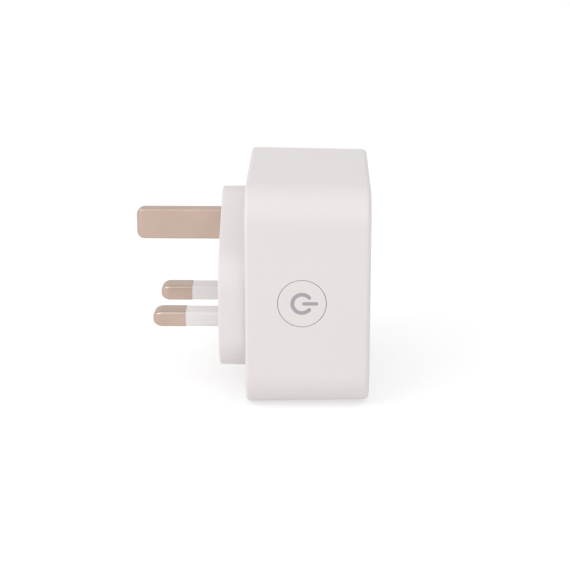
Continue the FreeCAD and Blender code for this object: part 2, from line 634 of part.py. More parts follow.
def make_carrier():
    """The insulating carrier: a plate behind the shutter and a chamber around each contact."""
    carrier = make_body("socket_carrier")
    plate = front_sketch(carrier, "carrier_rear")
    low = "0 - pin_drop - chamber_z - carrier_rim"
    high = "earth_chamber_top + carrier_rim"
    rectangle(plate, "0 - carrier_width / 2", "carrier_width / 2", low, high)
    pad(carrier, plate, "carrier_plate")

    boxes = front_sketch(carrier, "carrier_rear + overlap")
    for x in (LIVE_X, NEUTRAL_X):
        rectangle(boxes, f"{x} - chamber_x", f"{x} + chamber_x",
                  "0 - pin_drop - chamber_z", "chamber_z - pin_drop")
    pad(carrier, boxes, "carrier_rear + overlap - board_front", backwards=True)
    earth_box = front_sketch(carrier, "carrier_rear + overlap")
    rectangle(earth_box, "0 - earth_chamber_x", "earth_chamber_x", "0 - earth_chamber_low",
              "earth_chamber_top")
    pad(carrier, earth_box, "carrier_rear + overlap - board_front - earth_box_gap", backwards=True)

    rooms = front_sketch(carrier, "carrier_rear")
    for x in (LIVE_X, NEUTRAL_X):
        rectangle(rooms, f"{x} - chamber_x + chamber_wall", f"{x} + chamber_x - chamber_wall",
                  "0 - pin_drop - chamber_z + chamber_wall", "chamber_z - chamber_wall - pin_drop")
    rectangle(rooms, "chamber_wall - earth_chamber_x", "earth_chamber_x - chamber_wall",
              "chamber_wall - earth_chamber_low", "earth_chamber_top - chamber_wall")
    pocket(carrier, rooms, "carrier_rear")

    windows = front_sketch(carrier, "carrier_front")
    for x in (LIVE_X, NEUTRAL_X):
        rectangle(windows, f"{x} - pin_slot_width / 2", f"{x} + pin_slot_width / 2",
                  "0 - pin_drop - pin_slot_height / 2", "0 - pin_drop + pin_slot_height / 2")
    rectangle(windows, "0 - earth_slot_width / 2 - window_gap", "earth_slot_width / 2 + window_gap",
              "chamber_wall - earth_chamber_low", "earth_slot_height / 2")
    pocket(carrier, windows, "carrier_plate + beyond")
    return carrier


def make_shutter():
    """The safety shutter: a plate over both power apertures and a wedge behind the earth aperture."""
    shutter = make_body("shutter")
    plate = front_sketch(shutter, "shutter_rear")
    half, arm = "shutter_width / 2", "arm_width / 2"
    outline(plate, [
        (f"0 - {half}", "shutter_bottom"), (half, "shutter_bottom"), (half, "shutter_top"),
        (arm, "shutter_top"), (arm, "wedge_low"), (f"0 - {arm}", "wedge_low"),
        (f"0 - {arm}", "shutter_top"), (f"0 - {half}", "shutter_top"),
    ])
    pad(shutter, plate, "shutter_thickness")
    wedge = make_sketch(shutter, "YZ_Plane", "0")
    outline(wedge, [
        ("0 - shutter_front", "wedge_low - overlap"), ("0 - shutter_front", "wedge_low"),
        ("0 - wedge_back - contact_strip", "wedge_low + shutter_travel"),
        ("0 - wedge_back", "wedge_low + shutter_travel"),
        ("0 - wedge_back", "wedge_low - wedge_heel"),
        ("0 - shutter_rear - overlap", "wedge_low - wedge_heel"),
        ("0 - shutter_rear - overlap", "wedge_low - overlap"),
    ])
    pad(shutter, wedge, "wedge_width", both=True)
    return shutter


def make_shutter_spring():
    """The compression spring under the shutter, at its length with the shutter closed."""
    path = DOC.addObject("Part::Helix", "spring_path")
    rise = "(shutter_bottom - seat_top - spring_wire - 2 * thread_gap)"
    bind(path, "Radius", "spring_radius")
    bind(path, "Height", rise)
    bind(path, "Pitch", f"{rise} / spring_turns")
    wire = DOC.addObject("Part::Circle", "spring_section")
    bind(wire, "Radius", "spring_wire / 2")
    wire.Placement = Placement(Vector(), Rotation(Vector(1, 0, 0), 90))
    bind(wire, "Placement.Base.x", "spring_radius")
    DOC.recompute()
    spring = DOC.addObject("Part::Sweep", "shutter_spring")
    spring.Sections = [wire]
    spring.Spine = (path, ["Edge1"])
    spring.Solid = True
    spring.Frenet = True
    bind(spring, "Placement.Base.y", "0 - (shutter_front + shutter_rear) / 2")
    bind(spring, "Placement.Base.z", "seat_top + spring_wire / 2 + thread_gap")
    return spring


# ---------------------------------------------------------------- main board

def relay_legs(radius, name):
    """The relay's five legs, or the holes for them, through the main board."""
    spots = [(-0.42, -1), (-0.42, 1), (0.1, -1), (0.1, 1), (0.42, 0)]
    legs = []
    for k, (part_x, row) in enumerate(spots):
        x = f"relay_x + relay_length * {part_x}"
        z = f"relay_z + {row} * (relay_row - relay_z)"
        start = (x, "board_rear - leg_stub", z)
        legs.append(cylinder(f"{name}{k}", start, radius, "board_thickness + leg_stub + relay_stand", "-Y"))
    return legs


def make_main_board():
    """The main circuit board, notched around the pillars and drilled for what passes through."""
    low = ("board_clear - inner_side", "board_front", "inner_bottom + board_clear")
    size = ("2 * (inner_side - board_clear)", "board_thickness",
            "body_height - 2 * wall - 2 * board_clear")
    blank = box("board_blank", low, size)
    deep = "board_thickness + 2 * beyond"
    tools = []
    for k, (x, z) in enumerate(PILLARS):
        low = (f"{x} - notch / 2 - (({x}) > 0 ? 0 : notch)", "board_front + beyond",
               f"{z} - notch / 2 - (({z}) > (body_middle) ? 0 : notch)")
        tools.append(box(f"board_notch{k}", low, ("2 * notch", deep, "2 * notch")))
    start = ("0", "board_rear - beyond", "0")
    tools.append(cylinder("earth_hole", start, "earth_tail + leg_fit", deep, "-Y"))
    for name, x in (("live", LIVE_X), ("neutral", NEUTRAL_X)):
        start = (x, "board_rear - beyond", "0 - pin_drop")
        tools.append(cylinder(f"{name}_hole", start, "pin_tail + leg_fit", deep, "-Y"))
        low = (f"{x} - leg_width / 2 - leg_fit", "board_front + beyond",
               "contact_root - pin_drop - leg_fit")
        tools.append(box(f"{name}_leg_hole", low,
                         ("leg_width + 2 * leg_fit", deep, "contact_strip + 2 * leg_fit")))
    for k, x in enumerate(("post_x", "0 - post_x")):
        start = (x, "board_rear - beyond", "0 - post_drop")
        tools.append(cylinder(f"post_hole{k}", start, "post_screw + thread_gap", deep, "-Y"))
    tools += relay_legs("relay_leg + leg_gap", "relay_hole")
    return cut("main_board", blank, tools)


def make_relay():
    """The switching relay: its sealed case and its legs."""
    case = standing("relay_case", "relay_x", "relay_z", "relay_length", "relay_height", "relay_width",
                    "board_front + relay_stand")
    return {"relay_case": case,
            "relay_legs": gather("relay_legs", relay_legs("relay_leg", "relay_leg"))}


def make_chip(name, drop):
    """A small eight-lead chip, centred between the contact chambers."""
    parts = [standing(f"{name}_body", "0", f"(0 - {drop})", "chip_length", "chip_height", "chip_width",
                      "board_front + chip_stand")]
    for k in range(4):
        x = f"((0 - 1.5 + {k}) * lead_pitch)"
        parts.append(standing(f"{name}_lead{k}", x, f"(0 - {drop})", "lead_width", "lead_height",
                              "chip_width + 2 * lead_reach"))
    return fuse(name, parts)


def make_power_parts():
    """The parts of the meter and the supply that stand on the main board."""
    parts = {
        "metering_chip": make_chip("metering_chip", "meter_drop"),
        "supply_chip": make_chip("supply_chip", "supply_drop"),
        "shunt_resistor": standing("shunt_resistor", "0 - shunt_length", "(0 - shunt_drop)",
                                   "shunt_length", "shunt_height", "shunt_width"),
        "film_capacitor": standing("film_capacitor", "0 - film_x",
                                   "(inner_bottom + relay_clear + film_width / 2)",
                                   "film_length", "film_height", "film_width"),
        "bridge_rectifier": standing("bridge_rectifier", "side_part_x", "side_part_z",
                                     "bridge_size", "bridge_height", "bridge_size"),
    }
    start = ("0 - film_x", "board_front + varistor_radius",
             "inner_bottom + relay_clear + film_width + varistor_gap")
    parts["varistor"] = cylinder("varistor", start, "varistor_radius", "varistor_thickness", "Z")
    cans = [cylinder(f"bulk_can{k}", ("can_x", "board_front", f"0 - can_drop - {k} * can_pitch"),
                     "can_radius", "can_height", "-Y") for k in range(2)]
    parts["bulk_capacitors"] = gather("bulk_capacitors", cans)
    start = ("can_x", "board_front", "0 - can_drop - 2 * can_pitch")
    parts["output_capacitor"] = cylinder("output_capacitor", start, "output_radius", "output_height", "-Y")
    start = ("can_x", "board_front", "can_pitch - can_drop")
    winding = cylinder("coil_winding", start, "coil_radius", "coil_height", "-Y")
    bore = cylinder("coil_bore", start, "coil_core", "coil_height", "-Y")
    parts["inductor_winding"] = cut("inductor_winding", winding, [bore])
    parts["inductor_core"] = cylinder("inductor_core", start, "coil_core", "coil_height + core_out", "-Y")
    start = ("0 - side_part_x - fuse_length / 2", "board_front + fuse_radius", "side_part_z")
    parts["fusible_resistor"] = cylinder("fusible_resistor", start, "fuse_radius", "fuse_length", "X")
    low = ("pin_spacing / 2 - link_width / 2", "board_rear", "relay_row + relay_leg + link_clear")
    length = f"0 - pin_drop - pin_tail - link_gap - ({low[2]})"
    parts["live_link"] = box("live_link", low, ("link_width", "link_thickness", length))
    return parts


# ---------------------------------------------------------------- side board, radio and button

def make_side_board():
    """The small upright board behind the button, and the header that joins it to the main board."""
    low = ("0 - side_board_x", "board_front + side_board_depth", "side_board_top - side_board_height")
    board = box("side_board", low, ("side_board_thickness", "side_board_depth", "side_board_height"))
    low = ("side_board_thickness - side_board_x", "board_front + header_height",
           "side_board_top - header_length")
    header = box("board_header", low, ("header_width", "header_height", "header_length"))
    return {"side_board": board, "board_header": header}


def make_radio():
    """The radio module on edge above the socket, with its shield can."""
    low = ("0 - radio_width / 2", "board_front + radio_depth", "radio_z")
    module = box("radio_module", low, ("radio_width", "radio_depth", "radio_thickness"))
    low = ("0 - shield_width / 2", "board_front + shield_start + shield_depth", "radio_z + radio_thickness")
    shield = box("radio_shield", low, ("shield_width", "shield_depth", "shield_height"))
    return {"radio_module": module, "radio_shield": shield}


def outward(name, distance, radius, length, inwards=False):
    """A cylinder on the button's axis, its start a distance out from the body's middle."""
    start = (f"0 - ({distance})", "button_depth", "body_middle")
    return cylinder(name, start, radius, length, "X" if inwards else "-X")


def make_switch():
    """The push switch on the side board: its case and the plunger that it pushes back."""
    low = ("0 - side_board_x - switch_height", "button_depth + switch_size / 2",
           "body_middle - switch_size / 2")
    case = box("switch_blank", low, ("switch_height", "switch_size", "switch_size"))
    top = "side_board_x + switch_height"
    well = outward("switch_well", f"{top} - plunger_length - plunger_gap", "plunger_radius + plunger_gap",
                   "plunger_length + beyond")
    plunger = outward("switch_plunger", f"{top} + plunger_out - plunger_length", "plunger_radius",
                      "plunger_length")
    return {"switch_case": cut("switch_case", case, [well]), "switch_plunger": plunger}


def make_lights():
    """Two lamps on the side board and the clear ring that leads their light to the button."""
    ring = "(guide_inner + guide_outer) / 2"
    lamps = []
    for k, side in enumerate(("+", "-")):
        low = ("0 - side_board_x - lamp_height", "button_depth + lamp_length / 2",
               f"body_middle {side} {ring} - lamp_width / 2")
        lamps.append(box(f"lamp{k}", low, ("lamp_height", "lamp_length", "lamp_width")))
    length = "guide_end - guide_start"
    tube = outward("light_guide_blank", "guide_start", "guide_outer", length)
    bore = outward("light_guide_bore", "guide_start", "guide_inner", length)
    return {"status_lamps": gather("status_lamps", lamps),
            "light_guide": cut("light_guide", tube, [bore])}


def mark_parts(name, extra):
    """The power mark lying on its side: an open ring and a bar that points to the front.

    Its plane is the button's outer face, and each piece is sunk by mark_depth. extra lengthens the
    pieces outwards, for use as a cutter.
    """
    depth = f"mark_depth + {extra}"
    sunk = "button_wall - mark_depth"
    half = "mark_stroke / 2"
    ring = outward(f"{name}_ring", sunk, f"mark_radius + {half}", depth)
    bind(ring, "Angle", "360 - 2 * mark_opening")
    hole = outward(f"{name}_hole", sunk, f"mark_radius - {half}", depth)
    parts = [cut(f"{name}_arc", ring, [hole])]
    for k, side in enumerate(("+", "-")):
        start = (f"0 - ({sunk})", "button_depth + mark_radius * cos(mark_opening * 1deg)",
                 f"body_middle {side} mark_radius * sin(mark_opening * 1deg)")
        parts.append(cylinder(f"{name}_end{k}", start, half, depth, "-X"))
    for k, end in enumerate(("bar_start", "bar_end")):
        start = (f"0 - ({sunk})", f"button_depth + {end}", "body_middle")
        parts.append(cylinder(f"{name}_tip{k}", start, "bar_stroke / 2", depth, "-X"))
    low = (f"0 - ({sunk}) - ({depth})", "button_depth + bar_end", "body_middle - bar_stroke / 2")
    parts.append(box(f"{name}_bar", low, (depth, "bar_end - bar_start", "bar_stroke")))
    turn = Rotation(Vector(0, 0, 1), Vector(-1, 0, 0))
    start = turn.multVec(Vector(1, 0, 0))
    aim = Vector(0, -math.cos(math.radians(VALUES["mark_opening"])),
                 math.sin(math.radians(VALUES["mark_opening"])))
    ring.Placement = Placement(Vector(), Rotation(start, aim).multiply(turn))
    return fuse(name, parts)


def lean_with_wall(item):
    """Turns an item by the wall's draft about the middle of the button's face, so that it lies flush."""
    item.Placement = Placement(Vector(), Rotation(Vector(0, 0, 1), VALUES["draft"]))
    bind(item, "Placement.Rotation.Angle", "draft")
    turned_x = "(button_depth * sin(draft * 1deg) - button_wall * cos(draft * 1deg))"
    turned_y = "(0 - button_wall * sin(draft * 1deg) - button_depth * cos(draft * 1deg))"
    bind(item, "Placement.Base.x", f"0 - button_wall - {turned_x}")
    bind(item, "Placement.Base.y", f"0 - button_depth - {turned_y}")


def make_button():
    """The round power button: a flush cup with a flange behind the wall, and its inlaid mark."""
    face = outward("button_disc", "button_wall", "button_radius", "button_face", inwards=True)
    depth = "button_wall - inner_side + flange_gap"
    skirt = outward("button_skirt", "button_wall", "button_radius", depth, inwards=True)
    room = outward("button_room", "button_wall - button_face", "button_radius - button_skirt",
                   "wall + flange_thickness + beyond", inwards=True)
    flange = outward("button_flange", "inner_side - flange_gap", "flange_radius", "flange_thickness",
                     inwards=True)
    shell = cut("button_cup", fuse("button_wide", [skirt, flange]), [room])
    plunger_top = "(side_board_x + switch_height + plunger_out + stem_gap)"
    stem = outward("button_stem", "button_wall", "stem_radius", f"button_wall - {plunger_top}", inwards=True)
    blank = fuse("button_blank", [shell, face, stem])
    button = cut("power_button", blank, [mark_parts("mark_cutter", "overlap")])
    mark = mark_parts("button_mark", "0")
    for item in (button, mark):
        lean_with_wall(item)
    return {"power_button": button, "button_mark": mark}


# ---------------------------------------------------------------- build

def check(nodes):
    """Stops on any failed object and on any sub-part without a good solid."""
    DOC.recompute()
    for item in DOC.Objects:
        if "Invalid" in item.State or "Error" in item.State:
            raise RuntimeError(f"{item.Name} failed: {item.State}")
    for name, item in nodes.items():
        shape = item.Shape
        if shape.isNull() or not shape.isValid() or not shape.Solids:
            raise RuntimeError(f"{name} has no good solid")


def main():
    nodes = {
        "front_cover": make_front_cover(),
        "rear_base": make_rear_base(),
        "earth_pin": make_earth_pin(),
        "live_pin": make_power_pin("live_pin", LIVE_X),
        "neutral_pin": make_power_pin("neutral_pin", NEUTRAL_X),
        "live_sleeve": make_sleeve("live_sleeve", LIVE_X),
        "neutral_sleeve": make_sleeve("neutral_sleeve", NEUTRAL_X),
        "earth_contact": make_earth_contact(),
        "live_contact": make_power_contact("live_contact", LIVE_X),
        "neutral_contact": make_power_contact("neutral_contact", NEUTRAL_X),
        "socket_carrier": make_carrier(),
        "shutter": make_shutter(),
        "shutter_spring": make_shutter_spring(),
        "main_board": make_main_board(),
    }
    for group in (make_screws(), make_relay(), make_power_parts(), make_side_board(), make_radio(),
                  make_switch(), make_lights(), make_button()):
        nodes.update(group)
    check(nodes)
    os.makedirs("parts", exist_ok=True)
    for name, item in nodes.items():
        item.Label = name
        item.Shape.exportStep(f"parts/{name}.step")
        print(f"{name}: {item.Shape.Volume:.1f} mm3")


DOC = FreeCAD.newDocument("SmartPlug")
make_sheet()
main()
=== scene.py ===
"""Studio scene of a plug-in power meter: a square socket adaptor with a plug behind and a side button.

Sizes are millimetres in the part's frame: +Z up with the earth pin on top, +Y along the pins into the wall,
and the socket face towards -Y. The origin lies on the engagement face, on the earth pin's axis.
"""

import logging
import math
from collections.abc import Callable, Iterable
from dataclasses import dataclass
from enum import Enum
from typing import Any, Protocol

import bmesh
import bpy
from mathutils import Matrix, Vector


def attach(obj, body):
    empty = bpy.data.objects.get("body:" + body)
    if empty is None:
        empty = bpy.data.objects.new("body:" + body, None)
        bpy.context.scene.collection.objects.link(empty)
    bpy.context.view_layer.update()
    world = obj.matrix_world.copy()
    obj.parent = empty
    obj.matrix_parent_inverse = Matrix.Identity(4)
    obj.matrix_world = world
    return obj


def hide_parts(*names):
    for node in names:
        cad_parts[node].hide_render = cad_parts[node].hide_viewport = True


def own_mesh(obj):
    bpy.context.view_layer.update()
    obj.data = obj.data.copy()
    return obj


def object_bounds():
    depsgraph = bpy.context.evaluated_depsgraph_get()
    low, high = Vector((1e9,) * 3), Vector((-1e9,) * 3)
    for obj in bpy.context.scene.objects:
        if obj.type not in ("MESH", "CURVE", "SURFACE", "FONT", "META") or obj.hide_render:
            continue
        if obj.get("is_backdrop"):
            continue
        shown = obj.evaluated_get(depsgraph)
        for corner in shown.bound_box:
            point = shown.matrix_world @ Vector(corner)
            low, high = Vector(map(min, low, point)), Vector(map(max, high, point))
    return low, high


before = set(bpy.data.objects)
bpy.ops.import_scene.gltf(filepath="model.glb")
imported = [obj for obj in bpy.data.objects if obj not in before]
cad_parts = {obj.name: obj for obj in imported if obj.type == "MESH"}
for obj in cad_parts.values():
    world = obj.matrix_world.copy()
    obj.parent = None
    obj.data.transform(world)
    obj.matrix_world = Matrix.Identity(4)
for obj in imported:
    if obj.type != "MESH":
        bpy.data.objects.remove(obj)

MM = 0.001
LOG = logging.getLogger("power_meter")

Point = tuple[float, float, float]
Pair = tuple[float, float]
Colour = tuple[float, float, float, float]

# Sizes that several pieces share.
POWER_X = 11.1
POWER_Z = -22.2
POWER_PIN = (6.35, 4.0)
EARTH_PIN = (4.0, 8.0)
SLEEVE_END = 9.3
SLEEVE_SEAT = -1.5
REAR_RIM = -6.8
PLATE_INSIDE = -9.3
SCREW_X = 22.5
SCREW_HEIGHTS = (9.5, -35.5)
# How far a cutter reaches past what it cuts.
BEYOND = 1.0

# How closely a face must look along an axis, and an edge run along one, to be picked.
FACING = 0.9995
ALONG = 0.98
# How far a picked edge or face may lie from its place, and from an outline, in millimetres.
NEAR = 0.02
BESIDE = 0.05
# Points closer than this, in metres, are welded.
WELD = 1e-7


# ---------------------------------------------------------------- modelling by hand


class Select(Enum):
    """The kinds of mesh element that an edit can act on."""

    FACE = "faces"
    EDGE = "edges"


def metres(place: Iterable[float]) -> Vector:
    """Turns a place in millimetres into metres.

    Args:
        place: The three coordinates in millimetres.

    Returns:
        The same place in metres.
    """
    return Vector(place) * MM


def only(piece: bpy.types.Object) -> None:
    """Makes a piece the active object and the only selected one.

    Args:
        piece: The piece to work on.
    """
    bpy.ops.object.select_all(action="DESELECT")
    piece.select_set(True)
    bpy.context.view_layer.objects.active = piece


def named(name: str) -> bpy.types.Object:
    """Names the primitive just added and bakes its place into its mesh.

    Args:
        name: The piece's name.

    Returns:
        The new piece, alone in the selection.
    """
    piece = bpy.context.object
    piece.name = name
    piece.data.name = name
    only(piece)
    bpy.ops.object.transform_apply(location=True, rotation=True, scale=True)
    return piece


def block(name: str, low: Point, high: Point) -> bpy.types.Object:
    """Adds a block between two corners.

    Args:
        name: The piece's name.
        low: The corner with the smallest coordinates.
        high: The corner with the largest coordinates.

    Returns:
        The new piece.
    """
    bpy.ops.object.select_all(action="DESELECT")
    size = metres(high) - metres(low)
    bpy.ops.mesh.primitive_cube_add(size=1, location=(metres(low) + metres(high)) / 2, scale=size)
    return named(name)


def rod(name: str, start: Point, end: Point, radius: float, sides: int = 64) -> bpy.types.Object:
    """Adds a round rod between two points.

    Args:
        name: The piece's name.
        start: The middle of one end.
        end: The middle of the other end.
        radius: Its radius.
        sides: How many sides stand for its round.

    Returns:
        The new piece.
    """
    bpy.ops.object.select_all(action="DESELECT")
    run = metres(end) - metres(start)
    bpy.ops.mesh.primitive_cylinder_add(
        vertices=sides,
        radius=radius * MM,
        depth=run.length,
        location=(metres(start) + metres(end)) / 2,
        rotation=run.to_track_quat("Z", "Y").to_euler(),
    )
    return named(name)


def open_mesh(piece: bpy.types.Object) -> None:
    """Starts editing a piece's mesh.

    Args:
        piece: The piece to edit.
    """
    only(piece)
    bpy.ops.object.mode_set(mode="EDIT")


def close_mesh() -> None:
    """Ends editing."""
    bpy.ops.object.mode_set(mode="OBJECT")


def pick(kind: Select, test: Callable[[Any], bool]) -> None:
    """Selects the elements of the edited mesh for which a test holds.

    Args:
        kind: Faces or edges.
        test: Tells whether an element is wanted.
    """
    bpy.ops.mesh.select_mode(type=kind.name)
    bpy.ops.mesh.select_all(action="DESELECT")
    mesh = bmesh.from_edit_mesh(bpy.context.object.data)
    count = 0
    for item in getattr(mesh, kind.value):
        wanted = test(item)
        item.select_set(wanted)
        count += wanted
    mesh.select_flush_mode()
    bmesh.update_edit_mesh(bpy.context.object.data)
    if not count:
        raise RuntimeError(f"nothing to pick on {bpy.context.object.name}")


def faces_towards(axis: Point, place: float | None = None) -> Callable[[Any], bool]:
    """Tells whether a face looks along an axis, and lies at a place on it.

    Args:
        axis: The direction that the face looks in.
        place: The face's distance along that direction, in millimetres, or None for any.

    Returns:
        The test for pick.
    """
    aim = Vector(axis)

    def test(face: Any) -> bool:
        """Tells whether one face looks and lies as wanted."""
        looks = face.normal.dot(aim) > FACING
        return looks and (place is None or abs(face.calc_center_median().dot(aim) / MM - place) < NEAR)

    return test


def edges_along(
    axis: Point, where: Callable[[Vector], bool] = lambda middle: True
) -> Callable[[Any], bool]:
    """Tells whether an edge runs along an axis and its middle is where it should be.

    Args:
        axis: The direction of the edge.
        where: Tells from the edge's middle, in millimetres, whether it is wanted.

    Returns:
        The test for pick.
    """
    aim = Vector(axis)

    def test(edge: Any) -> bool:
        """Tells whether one edge runs and lies as wanted.

        Args:
            edge: The edge of the edited mesh.

        Returns:
            Whether it does.
        """
        start, end = (v.co for v in edge.verts)
        run = (end - start).normalized()
        return abs(run.dot(aim)) > ALONG and where((start + end) / 2 / MM)

    return test


def rim_at(axis: Point, place: float) -> Callable[[Any], bool]:
    """Tells whether both ends of an edge lie at one place along an axis.

    Args:
        axis: The direction to measure along.
        place: The distance along it, in millimetres.

    Returns:
        The test for pick.
    """
    aim = Vector(axis)

    def test(edge: Any) -> bool:
        """Tells whether one edge has both ends at the place."""
        return all(abs(v.co.dot(aim) / MM - place) < NEAR for v in edge.verts)

    return test


def round_edges(test: Callable[[Any], bool], reach: float, segments: int) -> None:
    """Rounds the edges of the edited mesh for which a test holds.

    Args:
        test: Tells whether an edge is wanted.
        reach: How far the round starts from the edge, in millimetres.
        segments: How many strips make the round.
    """
    pick(Select.EDGE, test)
    bpy.ops.mesh.bevel(
        offset=reach * MM, offset_type="OFFSET", segments=segments, profile=0.5, affect="EDGES"
    )


def resize_picked(factors: Point, centre: Point) -> None:
    """Scales what is picked about a centre.

    Args:
        factors: The three scale factors.
        centre: The centre in millimetres.
    """
    bpy.ops.transform.resize(value=factors, center_override=metres(centre))


def push_picked(way: Point) -> None:
    """Extrudes what is picked.

    Args:
        way: How far, in millimetres.
    """
    bpy.ops.mesh.extrude_region_move(TRANSFORM_OT_translate={"value": metres(way)})


def inset_picked(width: float) -> None:
    """Insets what is picked.

    Args:
        width: How far in, in millimetres.
    """
    bpy.ops.mesh.inset(thickness=width * MM, use_even_offset=True)


class Join(Enum):
    """How one piece is combined with another."""

    ADD = "UNION"
    CUT = "DIFFERENCE"


def combine(piece: bpy.types.Object, other: bpy.types.Object, how: Join) -> None:
    """Adds a second piece to a piece, or cuts it out, and removes the second.

    Args:
        piece: The piece that stays.
        other: The piece that is used up.
        how: Whether to add it or to cut it out.
    """
    only(piece)
    step = piece.modifiers.new("combine", "BOOLEAN")
    step.operation = how.value
    step.object = other
    step.solver = "EXACT"
    bpy.ops.object.modifier_apply(modifier=step.name)
    bpy.data.objects.remove(other)


def twin(piece: bpy.types.Object, name: str, shift: Point = (0, 0, 0)) -> bpy.types.Object:
    """Copies a piece with its own mesh and moves the copy.

    Args:
        piece: The piece to copy.
        name: The copy's name.
        shift: How far to move it, in millimetres.

    Returns:
        The copy.
    """
    copy = bpy.data.objects.new(name, piece.data.copy())
    bpy.context.scene.collection.objects.link(copy)
    copy.data.transform(Matrix.Translation(metres(shift)))
    return copy


def merged(pieces: list[bpy.types.Object]) -> bpy.types.Object:
    """Joins separate pieces into the first of them.

    Args:
        pieces: The pieces, none touching another.

    Returns:
        The first piece, now with all of them.
    """
    bpy.ops.object.select_all(action="DESELECT")
    for piece in pieces:
        piece.select_set(True)
    bpy.context.view_layer.objects.active = pieces[0]
    bpy.ops.object.join()
    return pieces[0]


def smooth(piece: bpy.types.Object, angle: float = 35.0) -> None:
    """Shades a piece smooth but for its sharp edges, and keeps its flat faces flat.

    Args:
        piece: The piece to shade.
        angle: The angle in degrees over which an edge counts as sharp.
    """
    only(piece)
    bpy.ops.object.shade_smooth_by_angle(angle=math.radians(angle), keep_sharp_edges=True)
    step = piece.modifiers.new("flat faces", "WEIGHTED_NORMAL")
    step.keep_sharp = True
    step.weight = 100
    bpy.ops.object.modifier_apply(modifier=step.name)


# ---------------------------------------------------------------- finishes


def linear(code: str) -> Colour:
    """Turns an sRGB hex colour into linear light.

    Args:
        code: The colour as "#rrggbb".

    Returns:
        Red, green, blue and alpha.
    """
    parts = [int(code[start : start + 2], 16) / 255 for start in (1, 3, 5)]
    red, green, blue = (c / 12.92 if c <= 0.04045 else ((c + 0.055) / 1.055) ** 2.4 for c in parts)
    return red, green, blue, 1.0


def add_node(
    tree: bpy.types.NodeTree,
    kind: str,
    settings: dict[str, Any] | None = None,
    values: dict[str, Any] | None = None,
    links: dict[str, bpy.types.NodeSocket] | None = None,
) -> bpy.types.Node:
    """Adds one node with its settings, its socket values and its incoming links.

    Args:
        tree: The node tree to add to.
        kind: The node's type.
        settings: Attributes of the node itself.
        values: Input sockets to set, by name.
        links: Input sockets to link, by name, each from an output socket.

    Returns:
        The new node.
    """
    node = tree.nodes.new(kind)
    for key, value in (settings or {}).items():
        setattr(node, key, value)
    wire(node, values or {}, links or {})
    return node


def wire(node: bpy.types.Node, values: dict[str, Any], links: dict[str, bpy.types.NodeSocket]) -> None:
    """Sets a node's input sockets.

    Args:
        node: The node.
        values: Input sockets to set, by name.
        links: Input sockets to link, by name, each from an output socket.
    """
    for key, value in values.items():
        node.inputs[key].default_value = value
    for key, source in links.items():
        node.id_data.links.new(source, node.inputs[key])


class Finish(Protocol):
    """Anything that can make a material."""

    def make(self) -> bpy.types.Material:
        """Builds the material."""


def blank_material(name: str) -> tuple[bpy.types.Material, bpy.types.Node, bpy.types.NodeSocket]:
    """Starts a material.

    Args:
        name: The finish's name.

    Returns:
        The material, its shader node and the object coordinates to read.
    """
    material = bpy.data.materials.new(name)
    material.use_nodes = True
    tree = material.node_tree
    shader = next(node for node in tree.nodes if node.type == "BSDF_PRINCIPLED")
    return material, shader, add_node(tree, "ShaderNodeTexCoord").outputs["Object"]


@dataclass(frozen=True)
class MouldedPlastic:
    """Injection-moulded plastic: a spark-eroded grain from the mould, and a slow drift of tone.

    A mould's own grain is finer than this. It is drawn coarser, so that it shows.
    """

    name: str
    colour: str
    roughness: float = 0.42
    grain_mm: float = 0.3
    grain_rise_mm: float = 0.004
    drift_mm: float = 25.0
    drift: float = 0.03
    gloss_spread: float = 0.04
    ior: float = 1.53
    subsurface: float = 0.0
    subsurface_mm: float = 0.6

    def make(self) -> bpy.types.Material:
        """Builds the material.

        Returns:
            The finished material.
        """
        material, shader, place = blank_material(self.name)
        tree = material.node_tree
        full = linear(self.colour)
        drift = add_node(
            tree,
            "ShaderNodeTexNoise",
            values={"Scale": 1 / (self.drift_mm * MM), "Detail": 2.0},
            links={"Vector": place},
        )
        tone = add_node(
            tree,
            "ShaderNodeMix",
            settings={"data_type": "RGBA"},
            values={"A": tuple(c * (1 - self.drift) for c in full[:3]) + (1.0,), "B": full},
            links={"Factor": drift.outputs["Fac"]},
        )
        grain = add_node(
            tree,
            "ShaderNodeTexNoise",
            values={"Scale": 1 / (self.grain_mm * MM), "Detail": 4.0},
            links={"Vector": place},
        )
        relief = add_node(
            tree,
            "ShaderNodeBump",
            values={"Strength": 1.0, "Distance": self.grain_rise_mm * MM},
            links={"Height": grain.outputs["Fac"]},
        )
        gloss = add_node(
            tree,
            "ShaderNodeMapRange",
            values={
                "To Min": self.roughness - self.gloss_spread,
                "To Max": self.roughness + self.gloss_spread,
            },
            links={"Value": grain.outputs["Fac"]},
        )
        wire(
            shader,
            {
                "IOR": self.ior,
                "Subsurface Weight": self.subsurface,
                "Subsurface Scale": self.subsurface_mm * MM,
            },
            {
                "Base Color": tone.outputs["Result"],
                "Normal": relief.outputs["Normal"],
                "Roughness": gloss.outputs["Result"],
            },
        )
        return material


